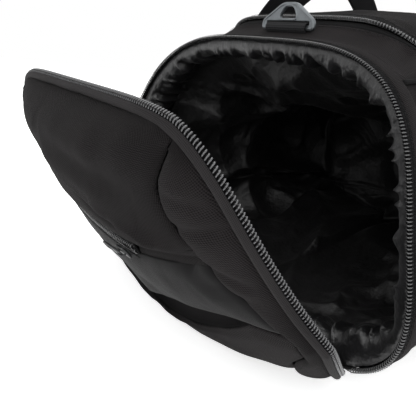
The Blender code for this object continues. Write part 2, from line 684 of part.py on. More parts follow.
def sliders(m, lid, flap):
    metal = m["slider"], m["pull"]
    # top lid: rides on the lid's half, near side
    side = on_top(0.05, -LID_HALF_WIDTH, -0.0034)
    above = on_top(0.05, -LID_HALF_WIDTH, -0.0134)
    up = [(above[i] - side[i]) / 0.010 for i in range(3)]
    near = [side[i] - lid.location[i] for i in range(3)]
    slider("main_zip_slider", metal[0], near, basis((1, 0, 0), (0, up[1], up[2])), lid)
    pin = (near[0], near[1] + 0.0056 * up[1], near[2] + 0.0056 * up[2])
    pull("main_zip_pull", metal[1], pin, basis((1, 0, 0), (0, up[1], up[2])), lid)
    # flap pocket: parked at the near end, its pull lying along the zip
    y, h = -0.036, 0.1205
    slope = (flap_face(y + 0.01, h) - flap_face(y - 0.01, h)) / 0.02
    size = (1 + slope * slope) ** 0.5
    out, along = (-1 / size, -slope / size, 0), (-slope / size, 1 / size, 0)
    spot = (-flap_face(y, h) + 0.0020 * out[0], y + 0.0020 * out[1], h)
    slider("pocket_slider", metal[0], spot, basis(along, out), flap)
    pin = (spot[0] + 0.0056 * out[0], spot[1] + 0.0056 * out[1], h)
    pull("pocket_pull", metal[1], pin, basis(along, out), flap)
    # open end: parked low on the far side, on the body's half of the coil
    sig = ZIP_END - 0.040
    spot = hull(sig, open_xi(0.0052), -0.0010)
    ahead = hull(sig - 0.02, open_xi(0.0052), -0.0010)
    out = hull(sig, open_xi(0.0052), -0.0110)
    along = [ahead[i] - spot[i] for i in range(3)]
    away = [out[i] - spot[i] for i in range(3)]
    slider("end_zip_slider", metal[0], spot, basis(along, away))
    pin = [spot[i] + 0.58 * away[i] for i in range(3)]
    pull("end_zip_pull", metal[1], pin, basis((0, 0, -1), (0, 1, 0)))


def main():
    clear()
    black = (0.034, 0.032, 0.033)
    m = {"fabric_" + k: material("fabric_" + k, black, 0.85)
         for k in ("near", "far", "top", "lid", "end", "base", "flap", "flap_side")}
    m["fabric_pocket"] = material("fabric_pocket", (0.020, 0.020, 0.020), 0.7)
    m["board"] = material("board", (0.03, 0.03, 0.03), 0.8)
    for k in ("piping", "piping_flap", "binding"):
        m[k] = material(k, (0.012, 0.012, 0.013), 0.8)
    for k in ("zip", "zip_lid", "zip_flap", "zip_pocket"):
        m[k] = material(k, (0.02, 0.02, 0.022), 0.45)
    for k in ("lining", "lining_deep", "lining_flap"):
        m[k] = material(k, (0.010, 0.010, 0.011), 0.35)
    for k in ("webbing", "webbing_near", "webbing_far"):
        m[k] = material(k, (0.006, 0.006, 0.007), 0.8)
    for k in ("ring_open", "ring_closed", "slider", "pull"):
        m[k] = material(k, (0.12, 0.13, 0.135), 0.35, 0.8)

    body_panels(m)
    hinge_line = on_top(LID_END, 0.0, SHELL / 2)
    lid = empty("lid_hinge", (LID_END, 0.0, hinge_line[2]))
    top_parts(m, lid)
    end_parts(m)
    lining_sack(m)
    hinge_x = -HALF - BOW * float(bow(HINGE_Z)) - 0.0020
    flap = empty("flap_hinge", (hinge_x, 0.0, HINGE_Z), (0, -radians(FLAP_OPEN), 0))
    flap_parts(m, flap)
    handles(m)
    rings(m)
    sliders(m, lid, flap)


main()
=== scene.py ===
"""Flight bag: the detailed visual model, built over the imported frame.

Metres, +Z up, +X towards the closed end, -Y is the near long side.
"""
from math import pi, radians

import bpy
import numpy as np
from mathutils import Matrix, Vector, geometry
from numpy import (abs, arange, array, asarray, c_, clip, concatenate, cos, cross, cumsum, exp,
                   gradient, hypot, interp, linspace, maximum, minimum, r_, sin, sqrt, stack)


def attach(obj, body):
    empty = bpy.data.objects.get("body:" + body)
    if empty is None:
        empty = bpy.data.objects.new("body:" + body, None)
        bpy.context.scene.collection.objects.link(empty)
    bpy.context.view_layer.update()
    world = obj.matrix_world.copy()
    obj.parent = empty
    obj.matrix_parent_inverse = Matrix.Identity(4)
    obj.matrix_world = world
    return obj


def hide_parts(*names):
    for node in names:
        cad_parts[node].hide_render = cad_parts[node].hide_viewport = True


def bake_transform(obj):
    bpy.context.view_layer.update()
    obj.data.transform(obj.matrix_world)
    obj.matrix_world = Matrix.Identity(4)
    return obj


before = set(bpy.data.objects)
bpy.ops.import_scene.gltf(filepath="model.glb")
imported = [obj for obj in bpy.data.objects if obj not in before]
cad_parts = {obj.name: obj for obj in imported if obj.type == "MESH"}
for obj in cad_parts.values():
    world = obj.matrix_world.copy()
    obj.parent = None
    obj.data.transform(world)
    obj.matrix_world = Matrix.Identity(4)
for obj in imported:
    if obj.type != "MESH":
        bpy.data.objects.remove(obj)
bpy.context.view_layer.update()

# ---- sizes shared with the frame ---------------------------------------------
LENGTH, HALF_WIDTH, RIM_HEIGHT, TOP_RISE, SIDE_SWELL = 0.48, 0.1726, 0.232, 0.028, 0.006
ROUND_BOTTOM, ROUND_TOP, TAPER, SINK, BOW = 2.585, 3.7, 0.198, 0.006, 0.0184
HINGE_Z, FLAP_OPEN = 0.0184, radians(41.5)
FLAP_HALF_WIDTH, FLAP_HEIGHT, FLAP_ROUND_BOTTOM, FLAP_ROUND_TOP = 0.1713, 0.2386, 2.484, 6.3
FLAP_TAPER, FLAP_WALL, FLAP_FOOT, FLAP_SILL = 0.2255, 0.006, 0.146, 0.03
LID_HALF_WIDTH, LID_START, LID_END, LID_CORNER = 0.118, -0.197, 0.19, 0.055
HANDLE_HALF_SPAN, HANDLE_RISE, HANDLE_POINT, WEBBING = 0.12, 0.1175, 1.4, 0.038
RING_WIDTH, RING_HEIGHT, RING_THICK = 0.059, 0.019, 0.0034
RING_INSET, RING_PIVOT_Z = 0.027, 0.238
HANDLE_PIVOT_Y, HANDLE_PIVOT_Z = 0.143, 0.214
POCKET_ZIP_H, POCKET_ZIP_NEAR = 0.1205, -0.0446
FLAP_EDGE, FLAP_FACE_TOP = 0.0058, 0.2097        # where the flap's cloth meets its border
CLOTH, TOOTH_PITCH, THREAD = 0.0018, 0.0022, 0.00028
GAP_SEWN = 0.0008                                # between the flap's panels at a seam
HALF = LENGTH / 2
SIDES = (("near", -1), ("far", 1))
ENDS = (("open", -1), ("closed", 1))
ROUND = linspace(0, 2 * pi, 9)[:-1]              # eight points round a cord
AROUND, SECTION_STEP = 400, 1 / 16               # how finely the body's surface is tabled


# ---- noise and folds -----------------------------------------------------------
LATTICE = np.random.default_rng(11).uniform(-1, 1, 4096)


def together(*values):
    """Values as arrays of one shape."""
    return np.broadcast_arrays(*(asarray(v, float) for v in values))


def points(x, y, z):
    return stack(together(x, y, z), -1)


def noise(x, y, z=0.0, seed=0):
    """Smooth value noise between -1 and 1, one cell per unit."""
    x, y, z = together(x, y, z)
    total = np.zeros(x.shape)
    cells = [np.floor(c).astype(np.int64) for c in (x, y, z)]
    shares = [c - f for c, f in zip((x, y, z), cells)]
    shares = [s * s * (3 - 2 * s) for s in shares]
    for i in range(8):
        bits = (i & 1, i >> 1 & 1, i >> 2)
        weight = np.ones(x.shape)
        key = np.full(x.shape, seed * 2654435 + 97, np.int64)
        for b, c, s, prime in zip(bits, cells, shares, (73856093, 19349663, 83492791)):
            weight = weight * (s if b else 1 - s)
            key = key ^ (c + b) * prime
        total += weight * LATTICE[(key ^ key >> 13) & 4095]
    return total


def rough(x, y, seed=0, octaves=3):
    return sum(noise(x * 2 ** k, y * 2 ** k, 0.37 * k, seed + k) / 2 ** k for k in range(octaves)) / 1.5


def ridges(x, y, seed=0):
    """Sharp-crested folds, 0 to 1."""
    return (1 - abs(noise(x, y, 0.5, seed))) ** 3


def crease(u, v, a, b, width):
    """1 along the line from a to b, fading over width and towards both ends."""
    a, b = array(a, float), array(b, float)
    d = b - a
    t = ((u - a[0]) * d[0] + (v - a[1]) * d[1]) / (d @ d)
    c = clip(t, 0, 1)
    away = hypot(u - a[0] - c * d[0], v - a[1] - c * d[1])
    return exp(-(away / width) ** 2) * clip(1.25 * sin(pi * clip(t, 0, 1)), 0, 1) ** 0.6


def creases(u, v, *rows):
    """Sum of several creases, each given as depth, one end, other end, width."""
    return sum(deep * crease(u, v, a, b, width) for deep, a, b, width in rows)


def ease(t):
    t = clip(t, 0, 1)
    return t * t * (3 - 2 * t)


# ---- lines and outlines --------------------------------------------------------
def unit(v):
    return v / np.linalg.norm(v, axis=-1)[..., None]


def run_of(*columns):
    """Metres along a line of points, given by its coordinates."""
    return r_[0, cumsum(hypot(*(np.diff(c) for c in columns)))]


def even(columns, run, count):
    """Columns resampled at even steps along run."""
    at = linspace(0, run[-1], count)
    return [interp(at, run, c) for c in columns]


def spline(p0, p1, p2, p3, f):
    """Catmull-Rom curve from p1 to p2."""
    return 0.5 * (2 * p1 + (p2 - p0) * f + (2 * p0 - 5 * p1 + 4 * p2 - p3) * f ** 2
                  + (3 * p1 - p0 - 3 * p2 + p3) * f ** 3)


def steps(a, b, pitch):
    return linspace(a, b, max(int(round(abs(b - a) / pitch)), 2) + 1)


# ---- mesh building ---------------------------------------------------------------
def quads(rows, cols, wrap_r=False, wrap_c=False):
    r, c = np.meshgrid(arange(rows - (not wrap_r)), arange(cols - (not wrap_c)), indexing="ij")
    r2, c2 = (r + 1) % rows, (c + 1) % cols
    return stack([r * cols + c, r * cols + c2, r2 * cols + c2, r2 * cols + c], -1).reshape(-1, 4)


def lengths(grid):
    """Metres along columns and along rows, for the weave."""
    du = np.linalg.norm(np.diff(grid, axis=1), axis=2).mean(0)
    dv = np.linalg.norm(np.diff(grid, axis=0), axis=2).mean(1)
    u, v = r_[0, cumsum(du)], r_[0, cumsum(dv)]
    return stack(np.broadcast_arrays(u[None, :], v[:, None]), -1).reshape(-1, 2)


def make(name, verts, faces, uv, look, body, nodes=(), smooth=True):
    """One mesh piece of quads that rides on a body and stands for CAD nodes."""
    verts, faces = asarray(verts, float).reshape(-1, 3), asarray(faces, int)
    a, b, c, d = (verts[faces[:, i]] for i in (0, 1, 2, -1))
    volume = np.einsum("ij,ij->i", a, cross(b, c)).sum() + np.einsum("ij,ij->i", a, cross(c, d)).sum()
    if volume < 0:
        faces = faces[:, ::-1]
    mesh = bpy.data.meshes.new(name)
    mesh.vertices.add(len(verts))
    mesh.vertices.foreach_set("co", verts.astype(np.float32).ravel())
    mesh.loops.add(faces.size)
    mesh.loops.foreach_set("vertex_index", faces.astype(np.int32).ravel())
    mesh.polygons.add(len(faces))
    mesh.polygons.foreach_set("loop_start", arange(0, faces.size, faces.shape[1], dtype=np.int32))
    mesh.update(calc_edges=True)
    mesh.polygons.foreach_set("use_smooth", np.full(len(faces), smooth))
    layer = mesh.uv_layers.new(name="cloth")
    layer.data.foreach_set("uv", asarray(uv, np.float32)[faces.ravel()].ravel())
    mesh.materials.append(LOOK[look])
    mesh.update()
    ob = bpy.data.objects.new(name, mesh)
    bpy.context.scene.collection.objects.link(ob)
    if body:
        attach(ob, body)
    if nodes:
        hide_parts(*([nodes] if isinstance(nodes, str) else nodes))
    return ob


def slab(name, outer, inner, look, body, nodes=(), slot=None, wrap=False):
    """A thick sheet between two grids of points; wrap joins its last column to its first."""
    rows, cols = outer.shape[:2]
    n = rows * cols
    f = quads(rows, cols, False, wrap)
    faces = [f, f[:, ::-1] + n]
    k = arange(cols - (not wrap))
    k2 = (k + 1) % cols
    edges = [(k2, k), ((rows - 1) * cols + k, (rows - 1) * cols + k2)]
    if not wrap:
        k = arange(rows - 1) * cols
        edges += [(k, k + cols), (k + 2 * cols - 1, k + cols - 1)]
    for p, q in edges:
        faces.append(stack([p, q, q + n, p + n], -1))
    uv = lengths(outer)
    return make(name, concatenate([outer.reshape(-1, 3), inner.reshape(-1, 3)]),
                concatenate(faces), concatenate([uv, uv]), look, body, nodes)


def sheet(name, place, a, b, depth, thick, *rest, **more):
    """A slab on the surface place(a, b, depth), thick metres further in on its hidden side."""
    return slab(name, place(a, b, depth), place(a, b, depth + thick), *rest, **more)


def bar(name, grid, look, body, nodes=(), closed=False):
    """A closed skin: grid[station, point of the section]; ends capped unless closed."""
    rows, cols = grid.shape[:2]
    faces = [quads(rows, cols, closed, True)]
    if not closed:
        i = arange(cols // 2 - 1)
        cap = stack([i, i + 1, cols - 2 - i, cols - 1 - i], -1)
        faces += [cap[:, ::-1], cap + (rows - 1) * cols]
    return make(name, grid.reshape(-1, 3), concatenate(faces), lengths(grid), look, body, nodes)


def tube(path, radius, sides=6):
    """Vertices and faces of a round tube along a path of points; radius may vary."""
    p = asarray(path, float)
    t = unit(gradient(p, axis=0))
    a = unit(cross(t, array([0.31, 0.17, 0.93])))
    b = cross(t, a)
    w = arange(sides) * 2 * pi / sides
    radius = np.broadcast_to(radius, len(p))[:, None, None]
    w = w[None, :, None]
    grid = p[:, None] + radius * (cos(w) * a[:, None] + sin(w) * b[:, None])
    return grid.reshape(-1, 3), quads(len(p), sides, False, True)


def repeat(name, part, where, look, body):
    """Copies of one small part (vertices, faces) laid along frames (origin, along, across, out)."""
    verts, faces = part
    o, t, e, n = where
    world = (o[:, None] + verts[None, :, :1] * t[:, None] + verts[None, :, 1:2] * e[:, None]
             + verts[None, :, 2:3] * n[:, None])
    copy = arange(len(o))[:, None, None]
    uv = np.broadcast_to(verts[None, :, :2], (len(o), len(verts), 2)) + copy * 0.01
    return make(name, world, (faces[None] + copy * len(verts)).reshape(-1, 4), uv.reshape(-1, 2),
                look, body)


def frames(place, s, e, d):
    """Origins and axes along a surface given by place(along, across, depth)."""
    s = asarray(s, float)
    h = 0.0004
    o = place(s, e, d)
    t = place(s + h, e, d) - place(s - h, e, d)
    c = place(s, e + h, d) - place(s, e - h, d)
    t, c, n = unit(t), unit(c), unit(place(s, e, d - h) - place(s, e, d + h))
    return o, t, unit(c - n * (c * n).sum(-1)[..., None]), n


# ---- the bag body's surface --------------------------------------------------------
def egg(a, height, low, high, taper):
    """Half outline of a rounded box that narrows upwards, from its top centre down."""
    t = np.radians(linspace(90, -90, 361))
    n = np.where(t < 0, low, high)
    c = abs(cos(t)) ** (2 / n)
    c[0] = c[-1] = 0.0
    s = np.sign(sin(t)) * abs(sin(t)) ** (2 / n)
    return a * c * (1 - taper * s), height / 2 * (1 + s)


def section(inward):
    """Half section of the body, evenly spaced, and its length; inward is 0 at an end, 1 in the middle."""
    y, z = egg(HALF_WIDTH + SIDE_SWELL * (1 - (1 - inward) ** 2), RIM_HEIGHT + TOP_RISE * inward,
               ROUND_BOTTOM, ROUND_TOP, TAPER)
    z = maximum(z - SINK, 0.0)
    run = run_of(y, z)
    return *even((y, z), run, AROUND + 1), run[-1]


SECTIONS = [section(w) for w in linspace(-SECTION_STEP, 1, 18)]
TABLE = array([s[:2] for s in SECTIONS])
RUN = SECTIONS[1][2]
SPREAD = linspace(0, 0.15, 301)
ACROSS = array([interp(SPREAD, s[0][:150], linspace(0, 149 / AROUND, 150)) for s in TABLE])


def bow(z):
    """How far the ends bow outwards at height z, 0 to 1."""
    h = clip((z + SINK) / RIM_HEIGHT, 0, 1)
    return 4 * h * (1 - h)


def station(xi):
    """Row of the section table at xi along the body, and the share of the next row."""
    w = (1 - xi ** 2) / SECTION_STEP + 1
    j = clip(w.astype(int), 0, 16)
    return j, w - j


def hull(sig, xi, depth=0.0):
    """Point on the body: sig 0 top, +-1 bottom centre (sign = side); depth inwards."""
    sig, xi, depth = together(sig, xi, depth)
    k = minimum(abs(sig), 1.0) * AROUND
    i = minimum(k.astype(int), AROUND - 1)
    j, g = station(xi)

    def at(n):
        a, b = TABLE[j, :, n], TABLE[j + 1, :, n]
        return a + (b - a) * g[..., None]

    p = at(i)
    p = p + (at(i + 1) - p) * (k - i)[..., None]
    t = unit(at(minimum(i + 4, AROUND)) - at(maximum(i - 3, 0)))
    ty = np.where(k > AROUND - 3, -1.0, t[..., 0])
    tz = np.where(k > AROUND - 3, 0.0, np.where(k < 3, t[..., 1] * k / 3, t[..., 1]))
    py, pz = p[..., 0] + tz * depth, p[..., 1] - ty * depth
    return stack([xi * (HALF + BOW * bow(pz)), np.where(sig >= 0, py, -py), pz], -1)


def sig_at(height):
    """Place round the end section at a height."""
    return float(interp(-height, -section(0.0)[1], linspace(0, 1, AROUND + 1)))


def open_xi(e):
    """Place along the body, e metres from the open end."""
    return -1 + e / HALF


def closed_xi(e):
    return 1 - e / HALF


def bare_top(x, y, depth=0.0):
    """Point on the top of the body above plan position x, y."""
    x, y, depth = together(x, y, depth)
    xi = x / HALF
    for _ in range(3):
        j, g = station(xi)
        k = clip(abs(y) / SPREAD[1], 0, 299.99)
        i = k.astype(int)
        low = ACROSS[j, i] + (ACROSS[j, i + 1] - ACROSS[j, i]) * (k - i)
        high = ACROSS[j + 1, i] + (ACROSS[j + 1, i + 1] - ACROSS[j + 1, i]) * (k - i)
        sig = (low + (high - low) * g) * np.where(y >= 0, 1, -1)
        xi = x / (HALF + BOW * bow(hull(sig, xi)[..., 2]))
    return hull(sig, xi, depth)


def raised(p):
    """The stuffed lid pulls the cloth behind the open end's rim up."""
    x, y = p[..., 0], abs(p[..., 1])
    lift = 0.015 * ease((x + 0.2225) / 0.0345) * (1 - ease((x + 0.19) / 0.06)) * ease((0.122 - y) / 0.06)
    p = p.copy()
    p[..., 2] += lift
    return p


def on_top(x, y, depth=0.0):
    return raised(bare_top(x, y, depth))


TOP_SEAM, LOW_SEAM, ZIP_END = sig_at(0.204), sig_at(0.012), sig_at(HINGE_Z)
GAP = 0.0012 / RUN


def at_rim(s, e, d):
    """s metres round the open rim from its top centre, e from the rim, d depth."""
    return hull(asarray(s) / RUN, open_xi(asarray(e, float)), d)


# ---- the lid's outline ----------------------------------------------------------------
def lid_half_width(x, grow):
    full, start, r = LID_HALF_WIDTH + grow, LID_START - grow, LID_CORNER + grow
    return np.where(x >= start + r, full,
                    full - r + sqrt(maximum(r * r - (start + r - x) ** 2, 0)))


LID_SIDE = LID_END - 0.002 - LID_START - LID_CORNER
LID_ARC = pi / 2 * LID_CORNER
LID_FRONT = 2 * (LID_HALF_WIDTH - LID_CORNER)
LID_RUN = 2 * (LID_SIDE + LID_ARC) + LID_FRONT


def lid_plan(s, grow):
    """Plan position s metres round the lid from the near hinge corner, grow outwards."""
    s, grow = together(s, grow)
    half = LID_RUN / 2
    m = half - abs(s - half)          # distance from the hinge corner, either side
    side = np.where(s < half, -1.0, 1.0)
    c = LID_START + LID_CORNER
    a = clip((m - LID_SIDE) / LID_CORNER, 0, pi / 2)
    r = LID_CORNER + grow
    x = np.where(m < LID_SIDE, LID_END - 0.002 - m, c - r * sin(a))
    y = np.where(m < LID_SIDE, LID_HALF_WIDTH + grow,
                 LID_HALF_WIDTH - LID_CORNER + r * cos(a) - maximum(m - LID_SIDE - LID_ARC, 0))
    return x, side * y


def at_lid(s, e, d):
    x, y = lid_plan(s, e)
    return on_top(x, y, d)


# ---- the end flap's surface --------------------------------------------------------------
FLAP_Y, FLAP_Z = egg(FLAP_HALF_WIDTH, FLAP_HEIGHT, FLAP_ROUND_BOTTOM, FLAP_ROUND_TOP, FLAP_TAPER)
FLAP_Z = FLAP_Z - SINK
FLAP_TOP = FLAP_HEIGHT - SINK - HINGE_Z
FLAP_ORIGIN = array([-HALF - BOW * float(bow(HINGE_Z)) - 0.002, 0, HINGE_Z])


def flap_half(h):
    """Half width of the flap at height h above its hinge."""
    y = interp(-(h + HINGE_Z), -FLAP_Z, FLAP_Y)
    full = float(interp(-(0.082 + HINGE_Z), -FLAP_Z, FLAP_Y))
    low = full - (full - FLAP_FOOT) * (maximum(0.082 - h, 0) / 0.082) ** 1.35
    return np.where(h < 0.082, low, y)


def flap_rim(h):
    """Depth of the plane where the flap meets the body's rim."""
    return BOW * (bow(h + HINGE_Z) - bow(HINGE_Z))


def flap_face(y, h):
    """Depth of the flap's outer face."""
    p = minimum(abs(y) / flap_half(minimum(h, FLAP_TOP - 0.004)), 1.0)
    closing = maximum(1 - maximum((h - 0.1) / 0.1098, 0.0) ** 14, 0)
    rise = (0.0283 + 1.36 * (h - 0.122) ** 2) * sqrt(closing)
    return flap_rim(h) + FLAP_WALL + rise * (1 - p * p) ** 0.95


# the seams beside the flap's middle panels: height above the hinge, half width
SEAM_H = (0.03, 0.05, 0.07, 0.086, 0.094, 0.101, 0.11, 0.12, 0.133, 0.148, 0.155, 0.163, 0.171,
          0.18, 0.186, 0.197, 0.203)
SEAM_Y = (0.1315, 0.1425, 0.1584, 0.1567, 0.1521, 0.1451, 0.138, 0.1262, 0.1178, 0.1106, 0.105, 0.103,
          0.1016, 0.1013, 0.1043, 0.1116, 0.1152)


def seam_at(h):
    h = asarray(h, float)
    return minimum(interp(h, SEAM_H, SEAM_Y), flap_half(h) - 0.0068)


def flap_world(w, y, h):
    """World point for depth w out of the hinge plane, y across, h up the flap."""
    w, y, h = together(w, y, h)
    c, s = cos(FLAP_OPEN), sin(FLAP_OPEN)
    return stack([FLAP_ORIGIN[0] - w * c - h * s, y, FLAP_ORIGIN[2] - w * s + h * c], -1)


def flap_outline():
    """Metres round the flap's edge, its points there, and the directions inwards."""
    hs = FLAP_TOP * (1 - (1 - linspace(0, 0.97, 220)) ** 1.6)
    near = c_[-flap_half(hs), hs]
    y = linspace(near[-1, 0], 0, 90)[1:]
    h = clip(interp(abs(y), FLAP_Y[:181], FLAP_Z[:181]) - HINGE_Z, hs[-1], FLAP_TOP)
    half = r_[near, c_[y, h]]
    line = r_[half, half[-2::-1] * [-1, 1]]
    run = run_of(*line.T)
    line = stack(even(line.T, run, 901), -1)
    t = gradient(line, axis=0)
    pad = r_[np.repeat(t[:1], 12, 0), t, np.repeat(t[-1:], 12, 0)]
    t = unit(stack([np.convolve(pad[:, k], np.ones(25) / 25, "valid") for k in (0, 1)], -1))
    return linspace(0, run[-1], 901), line, c_[t[:, 1], -t[:, 0]]


FLAP_S, FLAP_LINE, FLAP_IN = flap_outline()
FLAP_RUN = FLAP_S[-1]


def at_flap(s, e, d):
    """s metres round the flap from its near bottom corner, e inwards, d depth out of the rim."""
    s, e, d = together(s, e, d)
    y, h, ny, nh = (interp(s, FLAP_S, c) for c in (*FLAP_LINE.T, *FLAP_IN.T))
    y, h = y + e * ny, h + e * nh
    return flap_world(flap_rim(h) + d, y, h)


def on_flap(y, h, lift=0.0):
    return flap_world(flap_face(y, h) + lift, y, h)


# ---- materials -----------------------------------------------------------------------
class Graph:
    """A node material, built by name."""

    def __init__(self, name, **fixed):
        self.mat = bpy.data.materials.new(name)
        self.mat.use_nodes = True
        self.tree = self.mat.node_tree
        self.shader = self.tree.nodes["Principled BSDF"]
        for key, value in fixed.items():
            self.shader.inputs[key.replace("_", " ")].default_value = value

    def node(self, kind, ins=(), **props):
        n = self.tree.nodes.new("ShaderNode" + kind)
        for key, value in props.items():
            setattr(n, key, value)
        for key, value in dict(ins).items():
            self.put(value, n.inputs[key])
        return n

    def put(self, value, socket):
        if isinstance(value, bpy.types.NodeSocket):
            self.tree.links.new(value, socket)
        else:
            socket.default_value = value

    def math(self, op, a, b=0.0, c=0.0):
        return self.node("Math", {0: a, 1: b, 2: c}, operation=op).outputs[0]

    def wave(self, vector, kx, ky, kz=0.0, phase=0.0):
        """Sine across the weave, 0 to 1."""
        dot = self.node("VectorMath", {0: vector, 1: (kx, ky, kz)}, operation="DOT_PRODUCT").outputs["Value"]
        return self.math("MULTIPLY_ADD", self.math("SINE", self.math("ADD", dot, phase)), 0.5, 0.5)

    def noise(self, scale, detail=2.0, vector=None):
        ins = {"Scale": scale, "Detail": detail}
        if vector is not None:
            ins["Vector"] = vector
        return self.node("TexNoise", ins).outputs["Fac"]

    def ramp(self, fac, stops):
        n = self.node("ValToRGB", {"Fac": fac})
        for i, (at, colour) in enumerate(stops):
            e = n.color_ramp.elements[i] if i < 2 else n.color_ramp.elements.new(at)
            e.position, e.color = at, (*colour, 1)
        return n.outputs["Color"]

    def surface(self, colour, rough, normal=None):
        """Colour, roughness and normal of the shader."""
        for value, socket in ((colour, "Base Color"), (rough, "Roughness"), (normal, "Normal")):
            if value is not None:
                self.put(value, self.shader.inputs[socket])
        return self.mat

    def bump(self, height, strength, distance, after=None):
        ins = {"Height": height, "Strength": strength, "Distance": distance}
        if after is not None:
            ins["Normal"] = after
        return self.node("Bump", ins).outputs["Normal"]


def shade(colour, k):
    return tuple(min(c * k, 1.0) for c in colour)


def cloth(name, colour, kind="twill", pitch=0.0012, rough_at=0.85, bump=0.9, mottle=0.34, sheen=0.02,
          wrinkle=0.0, shine=0.06):
    """Woven cloth: twill, plain, webbing or nylon; threads follow the piece's own flat layout."""
    g = Graph(name, Sheen_Weight=sheen, Sheen_Roughness=0.45, Specular_IOR_Level=shine)
    uv = g.node("UVMap", uv_map="cloth").outputs["UV"]
    where = g.node("TexCoord").outputs["Object"]
    k = 2 * pi / pitch
    wobble = g.math("MULTIPLY", g.noise(700.0, 1.0, where), 2.2)
    along, across = {"twill": ((k, k * 0.3), (-k * 0.3, k)), "webbing": ((0.0, k), (k * 0.9, k * 0.5))}.get(
        kind, ((k, 0.0), (0.0, k)))
    rib = g.wave(uv, *along, phase=wobble)
    fine = g.wave(uv, *across, phase=wobble if kind == "twill" else 0.0)
    weave = g.math("ADD", g.math("MULTIPLY", rib, 0.5), g.math("MULTIPLY", fine, 0.5))
    cloud = g.noise(26.0, 4.0, where)
    fuzz = g.noise(1500.0, 2.0, where)
    tone = g.math("ADD", g.math("MULTIPLY", weave, 0.9 if kind != "nylon" else 0.12),
                  g.math("ADD", g.math("MULTIPLY", cloud, mottle * 1.6), g.math("MULTIPLY", fuzz, 0.22)))
    dark, light = (0.0, 1.9) if kind == "twill" else (0.2, 1.7)
    normal = None
    if wrinkle:
        fine = g.math("MULTIPLY", g.noise(210.0, 2.0, where), 0.35)
        normal = g.bump(g.math("ADD", g.noise(70.0, 3.0, where), fine), wrinkle, 0.004)
    return g.surface(g.ramp(tone, [(0.35, shade(colour, dark)), (1.0, shade(colour, light))]),
                     g.math("MULTIPLY_ADD", cloud, 0.16, rough_at - 0.08),
                     g.bump(weave, bump, 0.0005, normal))


def metal(name, colour, rough_at=0.38, metallic=0.85):
    """Cast gunmetal, with a fine grain and lighter worn edges."""
    g = Graph(name, Metallic=metallic, Specular_IOR_Level=0.5)
    where = g.node("TexCoord").outputs["Object"]
    grain, cloud = g.noise(1400.0, 3.0, where), g.noise(160.0, 3.0, where)
    edge = g.node("NewGeometry").outputs["Pointiness"]
    worn = g.math("MULTIPLY_ADD", edge, 3.0, -1.25)
    tone = g.math("ADD", g.math("MULTIPLY", cloud, 0.7), worn)
    return g.surface(g.ramp(tone, [(0.2, shade(colour, 0.72)), (0.9, shade(colour, 1.55))]),
                     g.math("MULTIPLY_ADD", cloud, 0.22, rough_at - 0.1), g.bump(grain, 0.25, 0.0001))


def coil(name, colour, rough_at=0.3):
    """Nylon zip coil: glossy monofilament, scuffed where the slider runs."""
    g = Graph(name, Specular_IOR_Level=0.9, Coat_Weight=0.4, Coat_Roughness=0.2)
    where = g.node("TexCoord").outputs["Object"]
    cloud, grain = g.noise(240.0, 3.0, where), g.noise(2600.0, 1.0, where)
    return g.surface(g.ramp(cloud, [(0.25, shade(colour, 0.65)), (0.75, shade(colour, 1.45))]),
                     g.math("MULTIPLY_ADD", cloud, 0.2, rough_at - 0.1), g.bump(grain, 0.2, 0.0001))


